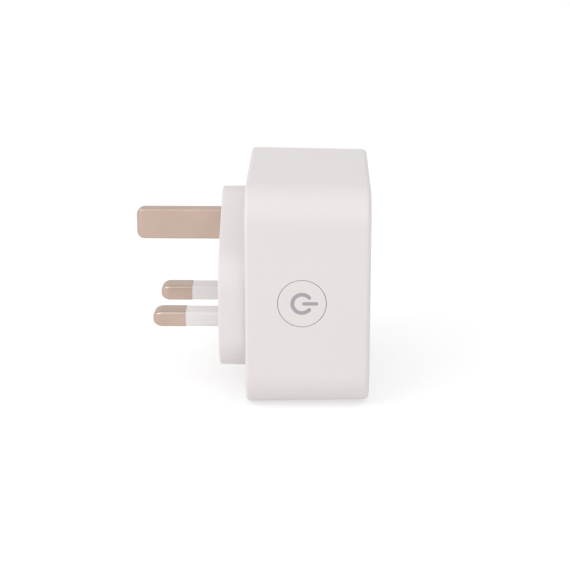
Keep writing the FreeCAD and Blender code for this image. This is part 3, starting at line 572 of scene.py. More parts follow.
@dataclass(frozen=True)
class DrawnMetal:
    """Bare metal drawn or rolled along one axis: fine lines along it and a slow tarnish.

    Drawing leaves finer lines than these. They are drawn wider, so that they show.
    """

    name: str
    colour: str
    tarnish: str
    roughness: float = 0.34
    line_mm: float = 0.14
    line_rise_mm: float = 0.003
    along: Point = (1.0, 0.03, 1.0)
    patch_mm: float = 5.0
    gloss_spread: float = 0.08

    def make(self) -> bpy.types.Material:
        """Builds the material.

        Returns:
            The finished material.
        """
        material, shader, place = blank_material(self.name)
        tree = material.node_tree
        drawn = add_node(tree, "ShaderNodeMapping", values={"Scale": self.along}, links={"Vector": place})
        lines = add_node(
            tree,
            "ShaderNodeTexNoise",
            values={"Scale": 1 / (self.line_mm * MM), "Detail": 5.0},
            links={"Vector": drawn.outputs["Vector"]},
        )
        patches = add_node(
            tree,
            "ShaderNodeTexNoise",
            values={"Scale": 1 / (self.patch_mm * MM), "Detail": 3.0},
            links={"Vector": place},
        )
        tone = add_node(
            tree,
            "ShaderNodeMix",
            settings={"data_type": "RGBA"},
            values={"A": linear(self.tarnish), "B": linear(self.colour)},
            links={"Factor": patches.outputs["Fac"]},
        )
        relief = add_node(
            tree,
            "ShaderNodeBump",
            values={"Strength": 1.0, "Distance": self.line_rise_mm * MM},
            links={"Height": lines.outputs["Fac"]},
        )
        gloss = add_node(
            tree,
            "ShaderNodeMapRange",
            values={
                "To Min": self.roughness - self.gloss_spread,
                "To Max": self.roughness + self.gloss_spread,
            },
            links={"Value": lines.outputs["Fac"]},
        )
        wire(
            shader,
            {"Metallic": 1.0},
            {
                "Base Color": tone.outputs["Result"],
                "Normal": relief.outputs["Normal"],
                "Roughness": gloss.outputs["Result"],
            },
        )
        return material


@dataclass(frozen=True)
class CircuitBoard:
    """Glass-epoxy board under solder mask: copper lands show as paler squares, over a faint glass weave."""

    name: str
    mask: str = "#0f4a2b"
    track: str = "#1d6a3d"
    track_mm: float = 1.6
    scatter: float = 0.6
    edge_start: float = 0.42
    edge_end: float = 0.48
    weave_mm: float = 0.5
    weave_rise_mm: float = 0.02
    weave_strength: float = 0.5
    roughness: float = 0.3
    ior: float = 1.55

    def make(self) -> bpy.types.Material:
        """Builds the material.

        Returns:
            The finished material.
        """
        material, shader, place = blank_material(self.name)
        tree = material.node_tree
        tracks = add_node(
            tree,
            "ShaderNodeTexVoronoi",
            settings={"distance": "CHEBYCHEV", "feature": "F1"},
            values={"Scale": 1 / (self.track_mm * 2 * MM), "Randomness": self.scatter},
            links={"Vector": place},
        )
        edges = add_node(
            tree,
            "ShaderNodeMapRange",
            values={"From Min": self.edge_start, "From Max": self.edge_end},
            links={"Value": tracks.outputs["Distance"]},
        )
        tone = add_node(
            tree,
            "ShaderNodeMix",
            settings={"data_type": "RGBA"},
            values={"A": linear(self.track), "B": linear(self.mask)},
            links={"Factor": edges.outputs["Result"]},
        )
        weave = add_node(
            tree, "ShaderNodeTexChecker", values={"Scale": 1 / (self.weave_mm * MM)}, links={"Vector": place}
        )
        relief = add_node(
            tree,
            "ShaderNodeBump",
            values={"Strength": self.weave_strength, "Distance": self.weave_rise_mm * MM},
            links={"Height": weave.outputs["Fac"]},
        )
        wire(
            shader,
            {"Roughness": self.roughness, "IOR": self.ior},
            {"Base Color": tone.outputs["Result"], "Normal": relief.outputs["Normal"]},
        )
        return material


@dataclass(frozen=True)
class Winding:
    """Turns of enamelled wire lying side by side round a core, with painted shade darkening the groove
    between turns.
    """

    name: str
    colour: str
    # The colour of the painted shade in the groove between turns.
    painted_groove_shade: str
    wire_mm: float = 0.35
    roughness: float = 0.28
    varnish: float = 0.4

    def make(self) -> bpy.types.Material:
        """Builds the material.

        Returns:
            The finished material.
        """
        material, shader, place = blank_material(self.name)
        tree = material.node_tree
        turns = add_node(
            tree,
            "ShaderNodeTexWave",
            settings={"wave_type": "BANDS", "bands_direction": "Y", "wave_profile": "SIN"},
            # At scale 1 the wave runs through 20 radians a unit, so this gives one band a wire.
            values={"Scale": math.pi / (10 * self.wire_mm * MM)},
            links={"Vector": place},
        )
        # The wave's troughs take the painted shade colour, darkening the groove between turns.
        tone = add_node(
            tree,
            "ShaderNodeMix",
            settings={"data_type": "RGBA"},
            values={"A": linear(self.painted_groove_shade), "B": linear(self.colour)},
            links={"Factor": turns.outputs["Fac"]},
        )
        relief = add_node(
            tree,
            "ShaderNodeBump",
            values={"Strength": 1.0, "Distance": self.wire_mm / 3 * MM},
            links={"Height": turns.outputs["Fac"]},
        )
        wire(
            shader,
            {"Roughness": self.roughness, "Coat Weight": self.varnish},
            {"Base Color": tone.outputs["Result"], "Normal": relief.outputs["Normal"]},
        )
        return material


@dataclass(frozen=True)
class ClearAcrylic:
    """Clear moulded acrylic: passes light, with a faint waviness from the mould."""

    name: str
    colour: str
    roughness: float = 0.12
    wave_mm: float = 1.5
    wave_rise_mm: float = 0.02
    wave_strength: float = 0.6
    ior: float = 1.49
    clear: float = 0.9

    def make(self) -> bpy.types.Material:
        """Builds the material.

        Returns:
            The finished material.
        """
        material, shader, place = blank_material(self.name)
        tree = material.node_tree
        wave = add_node(
            tree,
            "ShaderNodeTexNoise",
            values={"Scale": 1 / (self.wave_mm * MM), "Detail": 1.0},
            links={"Vector": place},
        )
        relief = add_node(
            tree,
            "ShaderNodeBump",
            values={"Strength": self.wave_strength, "Distance": self.wave_rise_mm * MM},
            links={"Height": wave.outputs["Fac"]},
        )
        values = {
            "Base Color": linear(self.colour),
            "Roughness": self.roughness,
            "IOR": self.ior,
            "Transmission Weight": self.clear,
        }
        wire(shader, values, {"Normal": relief.outputs["Normal"]})
        return material


# What the closed case hides, each finish with the CAD nodes that have it.
INSIDE: dict[Finish, tuple[str, ...]] = {
    # Rolled phosphor bronze strip: reddish gold with straight rolling lines.
    DrawnMetal("rolled_phosphor_bronze", "#d39a66", "#b07a4a", roughness=0.3): (
        "earth_contact",
        "live_contact",
        "neutral_contact",
    ),
    # Zinc on the small screws that hold the board.
    DrawnMetal("zinc_plated_board_screw", "#b9bbbd", "#a3a5a8", roughness=0.3): ("board_screws",),
    # Hot-tinned copper: whitish and a little lumpy.
    DrawnMetal("hot_tinned_copper", "#d2d2cd", "#b5b5ae", roughness=0.35, patch_mm=1.5): (
        "relay_legs",
        "live_link",
    ),
    # Manganin strip: dull brownish grey.
    DrawnMetal("rolled_manganin", "#a39281", "#85766a", roughness=0.4): ("shunt_resistor",),
    # Tinplate can: bright with a faint spangle.
    DrawnMetal("tinplate_can", "#c6c7c8", "#aeb0b2", roughness=0.28, patch_mm=3.0): ("radio_shield",),
    # Natural nylon: creamy and slightly waxy.
    MouldedPlastic("natural_nylon", "#dcd9d0", roughness=0.5, subsurface=0.1): ("socket_carrier",),
    # White nylon of the sliding shutter, worn a little smoother.
    MouldedPlastic("white_shutter_nylon", "#e2e1df", roughness=0.38): ("shutter",),
    # Transfer-moulded epoxy: near black with a fine sandy grain.
    MouldedPlastic("black_epoxy", "#1c1c1e", roughness=0.6, grain_mm=0.15, grain_rise_mm=0.01): (
        "metering_chip",
        "supply_chip",
        "bridge_rectifier",
        "board_header",
        "switch_case",
    ),
    # Sealed relay case: smooth black polyester.
    MouldedPlastic("black_polyester_case", "#222327", roughness=0.35): ("relay_case",),
    # Film capacitor box: yellow polyester, slightly rough.
    MouldedPlastic("yellow_polyester_box", "#d9a521", roughness=0.45): ("film_capacitor",),
    # Dipped epoxy coat: blue, glossy and uneven.
    MouldedPlastic("dipped_blue_epoxy", "#24508f", roughness=0.25, grain_mm=1.5, grain_rise_mm=0.05): (
        "varistor",
    ),
    # Shrink sleeve on the cans: glossy black.
    MouldedPlastic("black_shrink_sleeve", "#17191f", roughness=0.22, grain_mm=2.0): (
        "bulk_capacitors",
        "output_capacitor",
    ),
    # Sintered ferrite: dark grey and granular.
    MouldedPlastic("sintered_ferrite", "#37373a", roughness=0.7, grain_mm=0.2, grain_rise_mm=0.015): (
        "inductor_core",
    ),
    # Flameproof coat: matt green.
    MouldedPlastic("flameproof_green_coat", "#5f8f73", roughness=0.65, grain_mm=0.4): ("fusible_resistor",),
    # Brown acetal of the switch's plunger.
    MouldedPlastic("brown_acetal", "#5b3f2c", roughness=0.35): ("switch_plunger",),
    # Green solder mask over glass epoxy: glossy, with paler copper under it.
    CircuitBoard("green_solder_mask"): ("main_board", "side_board", "radio_module"),
    # Enamelled wire: shiny copper brown, with painted shade colouring the groove between turns darker.
    Winding("enamelled_copper_winding", "#a3572c", "#4c220f"): ("inductor_winding",),
    # Clear ring that carries light: glassy with a faint wave.
    ClearAcrylic("clear_acrylic_ring", "#eef3f4"): ("light_guide",),
    # Lamp lenses: yellowish and a little cloudy.
    ClearAcrylic("lamp_lens_epoxy", "#f2eed6", roughness=0.3): ("status_lamps",),
}


def dress(node: str, material: bpy.types.Material) -> None:
    """Gives a CAD node a material.

    Args:
        node: The node's name.
        material: The finish to use.
    """
    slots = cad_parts[node].data.materials
    slots.clear()
    slots.append(material)


def install(
    piece: bpy.types.Object, material: bpy.types.Material, node: str, body: str
) -> None:
    """Dresses a finished piece and puts it in the place of a CAD node.

    Args:
        piece: The finished piece.
        material: Its finish.
        node: The CAD node that it replaces.
        body: The body that it moves with.
    """
    piece.data.materials.clear()
    piece.data.materials.append(material)
    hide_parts(node)
    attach(piece, body)
    LOG.info("%s: %d faces on %s", piece.name, len(piece.data.polygons), body)


# ---------------------------------------------------------------- sub-assemblies


@dataclass
class Case:
    """The square shell in front, and what its mould gives it: draft, rounded edges, apertures and pillars."""

    width: float = 58.0
    top: float = 15.6
    bottom: float = -41.6
    rear: float = REAR_RIM
    front: float = -38.0
    corner: float = 9.0
    draft: float = 0.8
    front_round: float = 1.3
    rear_round: float = 1.0
    wall: float = 2.0
    front_wall: float = 2.2
    slot_round: float = 0.5
    slot_edge: float = 0.25
    earth_slot: Pair = (4.8, 8.8)
    pin_slot: Pair = (7.15, 4.8)
    pillar_radius: float = 3.2
    pillar_gap: float = 0.05
    pilot_radius: float = 1.5
    pilot_depth: float = 9.5
    hole_radius: float = 6.11
    hole_edge: float = 0.08
    rim_reach: float = 0.9
    button_y: float = -21.0

    @property
    def middle(self) -> float:
        """The height of the shell's middle."""
        return (self.top + self.bottom) / 2

    def model(self) -> bpy.types.Object:
        """Models the shell.

        Returns:
            The finished shell.
        """
        shell = self.shape_outside()
        self.hollow(shell)
        for x in (-SCREW_X, SCREW_X):
            for z in SCREW_HEIGHTS:
                self.add_pillar(shell, x, z)
        self.cut_apertures(shell)
        self.cut_button_hole(shell)
        smooth(shell)
        return shell

    def shape_outside(self) -> bpy.types.Object:
        """Shapes the block: draft towards the front, round corners, then soft front and rear rims.

        Returns:
            The shaped block.
        """
        half = self.width / 2
        shell = block("case_shell", (-half, self.front, self.bottom), (half, self.rear, self.top))
        lean = (self.rear - self.front) * math.tan(math.radians(self.draft))
        tall = (self.top - self.bottom) / 2
        open_mesh(shell)
        pick(Select.FACE, faces_towards((0, -1, 0)))
        resize_picked(((half - lean) / half, 1, (tall - lean) / tall), (0, self.front, self.middle))
        round_edges(edges_along((0, 1, 0)), self.corner, segments=20)
        round_edges(rim_at((0, 1, 0), self.front), self.front_round, segments=7)
        round_edges(rim_at((0, 1, 0), self.rear), self.rear_round, segments=6)
        close_mesh()
        return shell

    def hollow(self, shell: bpy.types.Object) -> None:
        """Opens the shell from the rear, leaving its walls.

        Args:
            shell: The shaped block.
        """
        open_mesh(shell)
        pick(Select.FACE, faces_towards((0, 1, 0), self.rear))
        inset_picked(self.wall - self.rear_round)
        push_picked((0, self.front + self.front_wall - self.rear, 0))
        close_mesh()

    def add_pillar(self, shell: bpy.types.Object, x: float, z: float) -> None:
        """Adds one screw pillar with its pilot hole.

        Args:
            shell: The hollow shell.
            x: The pillar's place across.
            z: The pillar's height.
        """
        foot, top = self.front + self.front_wall / 2, PLATE_INSIDE - self.pillar_gap
        combine(shell, rod("pillar", (x, foot, z), (x, top, z), self.pillar_radius, sides=40), Join.ADD)
        low, high = (x, PLATE_INSIDE - self.pilot_depth, z), (x, PLATE_INSIDE + BEYOND, z)
        combine(shell, rod("pilot", low, high, self.pilot_radius, sides=32), Join.CUT)

    def cut_apertures(self, shell: bpy.types.Object) -> None:
        """Cuts the earth aperture and the two power apertures, each with rounded corners and a soft rim.

        Args:
            shell: The hollow shell.
        """
        power_x, power_z = self.pin_slot
        earth_x, earth_z = self.earth_slot
        for x, z, wide, tall in (
            (0.0, 0.0, earth_x, earth_z),
            (POWER_X, POWER_Z, power_x, power_z),
            (-POWER_X, POWER_Z, power_x, power_z),
        ):
            low = (x - wide / 2, self.front - BEYOND, z - tall / 2)
            high = (x + wide / 2, self.front + self.front_wall + BEYOND, z + tall / 2)
            cutter = block("aperture", low, high)
            open_mesh(cutter)
            round_edges(edges_along((0, 1, 0)), self.slot_round, segments=5)
            close_mesh()
            combine(shell, cutter, Join.CUT)
            self.soften_rim(shell, x, z, wide, tall)

    def soften_rim(self, shell: bpy.types.Object, x: float, z: float, wide: float, tall: float) -> None:
        """Rounds the front rim of one aperture.

        Args:
            shell: The shell.
            x: The aperture's middle across.
            z: The aperture's middle height.
            wide: Its width.
            tall: Its height.
        """
        at_front = rim_at((0, 1, 0), self.front)

        def on_rim(edge: Any) -> bool:
            """Tells whether an edge lies on the aperture's outline.

            Args:
                edge: The edge of the edited mesh.

            Returns:
                Whether it does.
            """
            middle = (edge.verts[0].co + edge.verts[1].co) / 2 / MM
            near = abs(middle.x - x) < wide / 2 + BESIDE and abs(middle.z - z) < tall / 2 + BESIDE
            return at_front(edge) and near

        open_mesh(shell)
        round_edges(on_rim, self.slot_edge, segments=3)
        close_mesh()

    def cut_button_hole(self, shell: bpy.types.Object) -> None:
        """Cuts the round hole for the button, with a soft rim outside.

        Args:
            shell: The hollow shell.
        """
        middle = (self.button_y, self.middle)
        half = self.width / 2
        low, high = (-half - 2 * BEYOND, *middle), (-half + self.wall + 2 * BEYOND, *middle)
        combine(shell, rod("button_hole", low, high, self.hole_radius, sides=128), Join.CUT)

        def on_rim(edge: Any) -> bool:
            """Tells whether an edge lies on the hole's outer rim.

            Args:
                edge: The edge of the edited mesh.

            Returns:
                Whether it does.
            """
            spots = [v.co / MM for v in edge.verts]
            reach = [math.hypot(s.y - middle[0], s.z - middle[1]) for s in spots]
            near = all(abs(radius - self.hole_radius) < NEAR for radius in reach)
            outside = all(s.x < -half + self.rim_reach for s in spots)
            return near and outside and abs(spots[0].x - spots[1].x) < BESIDE

        open_mesh(shell)
        round_edges(on_rim, self.hole_edge, segments=3)
        close_mesh()


@dataclass
class Base:
    """The rear plate with its plug-shaped boss, the pin holes and the recessed screw holes."""

    half_width: float = 26.85
    top: float = 13.45
    bottom: float = -39.45
    corner: float = 6.85
    rear: float = REAR_RIM
    boss_half: float = 26.5
    boss_root: float = 0.6
    flat_half: float = 2.5
    boss_top: float = 9.6
    shoulder: float = -4.7
    boss_bottom: float = -32.8
    boss_draft: float = 0.4
    top_round: float = 6.0
    shoulder_round: float = 11.0
    bottom_round: float = 9.6
    edge: float = 0.45
    plate_edge: float = 0.3
    pin_gap: float = 0.05
    earth_hole_edge: float = 0.45
    power_hole_edge: float = 0.75
    clearance_radius: float = 1.5
    recess_radius: float = 2.7
    recess: float = 1.7
    recess_edge: float = 0.25

    def model(self) -> bpy.types.Object:
        """Models the rear base.

        Returns:
            The finished base.
        """
        base = self.shape_plate()
        combine(base, self.shape_boss(), Join.ADD)
        for x in (-SCREW_X, SCREW_X):
            for z in SCREW_HEIGHTS:
                self.cut_screw_hole(base, x, z)
        for x, z, (wide, tall), edge in (
            (0.0, 0.0, EARTH_PIN, self.earth_hole_edge),
            (POWER_X, POWER_Z, POWER_PIN, self.power_hole_edge),
            (-POWER_X, POWER_Z, POWER_PIN, self.power_hole_edge),
        ):
            self.cut_pin_hole(base, x, z, wide + 2 * self.pin_gap, tall + 2 * self.pin_gap, edge)
        smooth(base)
        return base

    def shape_plate(self) -> bpy.types.Object:
        """Shapes the plate that drops into the shell's rear opening.

        Returns:
            The plate.
        """
        low = (-self.half_width, PLATE_INSIDE, self.bottom)
        plate = block("rear_plate", low, (self.half_width, self.rear, self.top))
        open_mesh(plate)
        round_edges(edges_along((0, 1, 0)), self.corner, segments=16)
        round_edges(rim_at((0, 1, 0), self.rear), self.plate_edge, segments=3)
        close_mesh()
        return plate

    def shape_boss(self) -> bpy.types.Object:
        """Shapes the boss: a block cut to shoulders, drafted, then rounded at its corners and rim.

        Returns:
            The boss.
        """
        low = (-self.boss_half, self.rear - self.boss_root, self.boss_bottom)
        boss = block("boss", low, (self.boss_half, 0, self.boss_top))
        drop, run = self.boss_top - self.shoulder, self.boss_half - self.flat_half
        open_mesh(boss)
        for side in (-1, 1):
            bpy.ops.mesh.select_all(action="SELECT")
            bpy.ops.mesh.bisect(
                plane_co=metres((side * self.boss_half, 0, self.shoulder)),
                plane_no=Vector((side * drop, 0, run)).normalized(),
                use_fill=True,
                clear_outer=True,
            )
        turn = math.atan2(drop, run)
        for height, radius, bend in (
            (self.boss_top, self.top_round, turn),
            (self.shoulder, self.shoulder_round, math.pi / 2 - turn),
            (self.boss_bottom, self.bottom_round, math.pi / 2),
        ):
            corner = edges_along((0, 1, 0), lambda middle, height=height: abs(middle.z - height) < 2 * BESIDE)
            round_edges(corner, radius * math.tan(bend / 2), segments=18)
        pick(Select.FACE, faces_towards((0, 1, 0), 0.0))
        lean = -self.rear * math.tan(math.radians(self.boss_draft))
        middle = (self.boss_top + self.boss_bottom) / 2
        tall = (self.boss_top - self.boss_bottom) / 2
        resize_picked(((self.boss_half - lean) / self.boss_half, 1, (tall - lean) / tall), (0, 0, middle))
        round_edges(rim_at((0, 1, 0), 0.0), self.edge, segments=4)
        close_mesh()
        return boss

    def cut_screw_hole(self, base: bpy.types.Object, x: float, z: float) -> None:
        """Cuts one clearance hole and its recess, with a soft rim.

        Args:
            base: The rear base.
            x: The screw's place across.
            z: The screw's height.
        """
        end = (x, self.rear + BEYOND, z)
        for name, start, radius, sides in (
            ("clearance", PLATE_INSIDE - BEYOND, self.clearance_radius, 32),
            ("recess", self.rear - self.recess, self.recess_radius, 48),
        ):
            combine(base, rod(name, (x, start, z), end, radius, sides), Join.CUT)
        at_rear = rim_at((0, 1, 0), self.rear)

        def on_rim(edge: Any) -> bool:
            """Tells whether an edge lies on the recess's rim.

            Args:
                edge: The edge of the edited mesh.

            Returns:
                Whether it does.
            """
            reach = [math.hypot(v.co.x / MM - x, v.co.z / MM - z) for v in edge.verts]
            return max(reach) < self.recess_radius + NEAR and at_rear(edge)

        open_mesh(base)
        round_edges(on_rim, self.recess_edge, segments=3)
        close_mesh()

    def cut_pin_hole(
        self, base: bpy.types.Object, x: float, z: float, wide: float, tall: float, edge: float
    ) -> None:
        """Cuts one pin hole with rounded corners.

        Args:
            base: The rear base.
            x: The hole's middle across.
            z: The hole's middle height.
            wide: Its width.
            tall: Its height.
            edge: The round of its corners.
        """
        low = (x - wide / 2, PLATE_INSIDE - BEYOND, z - tall / 2)
        cutter = block("pin_hole", low, (x + wide / 2, BEYOND, z + tall / 2))
        open_mesh(cutter)
        round_edges(edges_along((0, 1, 0)), edge, segments=5)
        close_mesh()
        combine(base, cutter, Join.CUT)


@dataclass
class Pin:
    """One flat pin, from its root in the base to its blunt rounded nose."""

    name: str
    x: float
    z: float
    width: float
    height: float
    length: float
    edge: float
    nose: float
    run: float
    neck: float = 0.0
    sleeve: float = 0.0
    root: float = PLATE_INSIDE
    tail_radius: float = 1.3
    tail_end: float = -14.6
    tail_overlap: float = 0.4
    # The nose follows an ellipse, and ends flat this share of the way to its tip.
    blunt: float = 0.985
    steps: int = 9
    shade_angle: float = 28.0

    def model(self) -> bpy.types.Object:
        """Models the pin.

        Returns:
            The finished pin.
        """
        start = self.sleeve if self.neck else self.root
        half_x, half_z = self.width / 2, self.height / 2
        low = (self.x - half_x, start, self.z - half_z)
        pin = block(self.name, low, (self.x + half_x, self.length - self.run, self.z + half_z))
        open_mesh(pin)
        round_edges(edges_along((0, 1, 0)), self.edge, segments=5)
        self.draw_nose()
        if self.neck:
            self.draw_neck()
        close_mesh()
        start, end = (self.x, self.tail_end, self.z), (self.x, self.root + self.tail_overlap, self.z)
        combine(pin, rod("tail", start, end, self.tail_radius, sides=32), Join.ADD)
        smooth(pin, self.shade_angle)
        return pin

    def draw_nose(self) -> None:
        """Draws the nose out from the pin's end in steps that follow an ellipse."""
        pick(Select.FACE, faces_towards((0, 1, 0), self.length - self.run))
        drawn, past = 0.0, 0.0
        for step in range(1, self.steps + 1):
            part = math.sin(step / self.steps * math.pi / 2)
            share = 1 - math.sqrt(1 - (self.blunt * part) ** 2)
            push_picked((0, (part - past) * self.run, 0))
            wide = (self.width - 2 * self.nose * share) / (self.width - 2 * self.nose * drawn)
            tall = (self.height - 2 * self.nose * share) / (self.height - 2 * self.nose * drawn)
            resize_picked((wide, 1, tall), (self.x, 0, self.z))
            drawn, past = share, part

    def draw_neck(self) -> None:
        """Draws the neck back from the bare part, under the sleeve, and on to the root at the same size."""
        pick(Select.FACE, faces_towards((0, -1, 0), -self.sleeve))
        inset_picked(self.neck)
        push_picked((0, SLEEVE_SEAT - self.sleeve, 0))
        push_picked((0, self.root - SLEEVE_SEAT, 0))


@dataclass
class Sleeve:
    """The insulating sleeve moulded on a power pin."""

    name: str
    x: float
    z: float = POWER_Z
    width: float = 6.23
    height: float = 3.88
    edge: float = 0.72
    wall: float = 0.49
    length: float = SLEEVE_END
    seat: float = SLEEVE_SEAT
    lip: float = 0.1
    shade_angle: float = 40.0

    def model(self) -> bpy.types.Object:
        """Models the sleeve.

        Returns:
            The finished sleeve.
        """
        half_x, half_z = self.width / 2, self.height / 2
        low = (self.x - half_x, self.seat, self.z - half_z)
        sleeve = block(self.name, low, (self.x + half_x, self.length, self.z + half_z))
        open_mesh(sleeve)
        round_edges(edges_along((0, 1, 0)), self.edge, segments=5)
        round_edges(rim_at((0, 1, 0), self.length), self.lip, segments=2)
        pick(Select.FACE, faces_towards((0, 1, 0), self.length))
        inset_picked(self.wall - self.lip)
        pick(Select.FACE, faces_towards((0, -1, 0), -self.seat))
        inset_picked(self.wall)
        both = [faces_towards((0, 1, 0), self.length), faces_towards((0, -1, 0), -self.seat)]
        inner = (half_x - self.wall - BESIDE, half_z - self.wall - BESIDE)

        def is_end(face: Any) -> bool:
            """Tells whether a face is one of the two inner end faces.

            Args:
                face: The face of the edited mesh.

            Returns:
                Whether it is.
            """
            middle = face.calc_center_median() / MM
            near = abs(middle.x - self.x) < inner[0] / 2 and abs(middle.z - self.z) < inner[1] / 2
            return near and any(test(face) for test in both)

        pick(Select.FACE, is_end)
        bpy.ops.mesh.bridge_edge_loops()
        close_mesh()
        smooth(sleeve, self.shade_angle)
        return sleeve


@dataclass
class Button:
    """The round push button and its inlaid power mark."""

    wall_x: float = -28.80
    y: float = -21.0
    z: float = -13.0
    radius: float = 6.0
    rim: float = 0.1
    face: float = 1.2
    skirt: float = 1.0
    flange_radius: float = 6.8
    flange_x: float = -26.7
    flange: float = 0.8
    stem_radius: float = 1.5
    stem_x: float = -25.25
    draft: float = 0.8
    mark_radius: float = 2.38
    mark_stroke: float = 0.97
    mark_opening: float = 41.0
    mark_depth: float = 0.3
    mark_cut: float = 0.5
    seed: float = 0.02
    bar: Pair = (0.5, 3.6)
    bar_stroke: float = 0.9
    # The bar's ends stop just short of half rounds, so that each keeps a flat of its own.
    bar_end: float = 0.98
    shade_angle: float = 30.0

    def model(self) -> tuple[bpy.types.Object, bpy.types.Object]:
        """Models the button and its mark.

        Returns:
            The button and the mark.
        """
        cap = self.shape_cap()
        mark = self.shape_mark("power_mark", 0.0)
        combine(cap, self.shape_mark("mark_cutter", self.mark_cut), Join.CUT)
        for piece in (cap, mark):
            self.lean(piece)
            smooth(piece, self.shade_angle)
        return cap, mark

    def shape_cap(self) -> bpy.types.Object:
        """Shapes the cap from its flange outwards, then hollows it and draws its stem.

        Returns:
            The cap.
        """
        inner = self.flange_x + self.flange
        start, end = (inner, self.y, self.z), (self.flange_x, self.y, self.z)
        cap = rod("button_cap", start, end, self.flange_radius, sides=128)
        open_mesh(cap)
        pick(Select.FACE, faces_towards((-1, 0, 0)))
        inset_picked(self.flange_radius - self.radius)
        push_picked((self.wall_x - self.flange_x, 0, 0))
        round_edges(rim_at((1, 0, 0), self.wall_x), self.rim, segments=4)
        pick(Select.FACE, faces_towards((1, 0, 0), inner))
        inset_picked(self.flange_radius - self.radius + self.skirt)
        push_picked((self.wall_x + self.face - inner, 0, 0))
        inset_picked(self.radius - self.skirt - self.stem_radius)
        push_picked((self.stem_x - self.wall_x - self.face, 0, 0))
        close_mesh()
        return cap

    def shape_mark(self, name: str, extra: float) -> bpy.types.Object:
        """Shapes the mark: a ring open towards the front, spun from one end, and a bar in the opening.

        Args:
            name: The piece's name.
            extra: How far it stands out beyond the button's face.

        Returns:
            The mark.
        """
        opening = math.radians(self.mark_opening)
        inner, outer = self.wall_x + self.mark_depth, self.wall_x - extra
        half = self.mark_stroke / 2
        ring = block(
            name,
            (outer, self.y - self.mark_radius - half, self.z - self.seed),
            (inner, self.y - self.mark_radius + half, self.z + self.seed),
        )
        hub = metres((0, self.y, self.z))
        open_mesh(ring)
        pick(Select.FACE, faces_towards((0, 0, -1)))
        bpy.ops.mesh.select_all(action="INVERT")
        bpy.ops.mesh.delete(type="FACE")
        bpy.ops.mesh.select_all(action="SELECT")
        bpy.ops.transform.rotate(value=opening, orient_axis="X", center_override=hub)
        bpy.ops.mesh.spin(steps=96, angle=2 * math.pi - 2 * opening, center=hub, axis=(1, 0, 0))
        bpy.ops.mesh.select_all(action="SELECT")
        bpy.ops.mesh.remove_doubles(threshold=WELD)
        bpy.ops.mesh.fill_holes(sides=4)
        bpy.ops.mesh.normals_make_consistent(inside=False)
        close_mesh()
        for side in (-1, 1):
            y = self.y - self.mark_radius * math.cos(opening)
            z = self.z + side * self.mark_radius * math.sin(opening)
            combine(ring, rod("mark_end", (outer, y, z), (inner, y, z), half, sides=32), Join.ADD)
        start, end = self.bar
        tip = self.bar_stroke / 2
        low = (outer, self.y - end - tip, self.z - tip)
        bar = block("mark_bar", low, (inner, self.y - start + tip, self.z + tip))
        open_mesh(bar)
        round_edges(edges_along((1, 0, 0)), tip * self.bar_end, segments=8)
        close_mesh()
        return merged([ring, bar])

    def lean(self, piece: bpy.types.Object) -> None:
        """Turns a piece by the wall's draft about the middle of the button's face.

        Args:
            piece: The piece to turn.
        """
        hub = Matrix.Translation(metres((self.wall_x, self.y, self.z)))
        turn = Matrix.Rotation(math.radians(self.draft), 4, "Z")
        piece.data.transform(hub @ turn @ hub.inverted())


@dataclass
class Screws:
    """The four pan-head case screws, modelled once and copied."""

    under: float = -8.5
    head_radius: float = 2.6
    head: float = 1.5
    crown: float = 0.5
    radius: float = 1.45
    length: float = 9.5
    point: float = 0.6
    point_share: float = 0.45
    cross: float = 0.7
    cross_depth: float = 1.0
    arm_share: float = 0.62
    cross_taper: float = 0.6

    def model(self) -> bpy.types.Object:
        """Models the screws.

        Returns:
            All four, as one piece.
        """
        top = self.under + self.head
        first = rod("case_screw", (0, self.under, 0), (0, top, 0), self.head_radius, sides=48)
        open_mesh(first)
        round_edges(rim_at((0, 1, 0), top), self.crown, segments=5)
        pick(Select.FACE, faces_towards((0, -1, 0), -self.under))
        inset_picked(self.head_radius - self.radius)
        push_picked((0, self.point - self.length, 0))
        push_picked((0, -self.point, 0))
        resize_picked((self.point_share, 1, self.point_share), (0, 0, 0))
        close_mesh()
        arm = self.head_radius * self.arm_share
        for wide, tall in ((arm, self.cross / 2), (self.cross / 2, arm)):
            cutter = block("cross", (-wide, top - self.cross_depth, -tall), (wide, top + BEYOND, tall))
            open_mesh(cutter)
            pick(Select.FACE, faces_towards((0, -1, 0)))
            resize_picked((self.cross_taper, 1, self.cross_taper), (0, 0, 0))
            close_mesh()
            combine(first, cutter, Join.CUT)
        smooth(first)
        places = [(x, 0, z) for x in (-SCREW_X, SCREW_X) for z in SCREW_HEIGHTS]
        copies = [twin(first, f"case_screw_{count}", place) for count, place in enumerate(places)]
        bpy.data.objects.remove(first)
        screws = merged(copies)
        screws.name = "case_screw_set"
        return screws


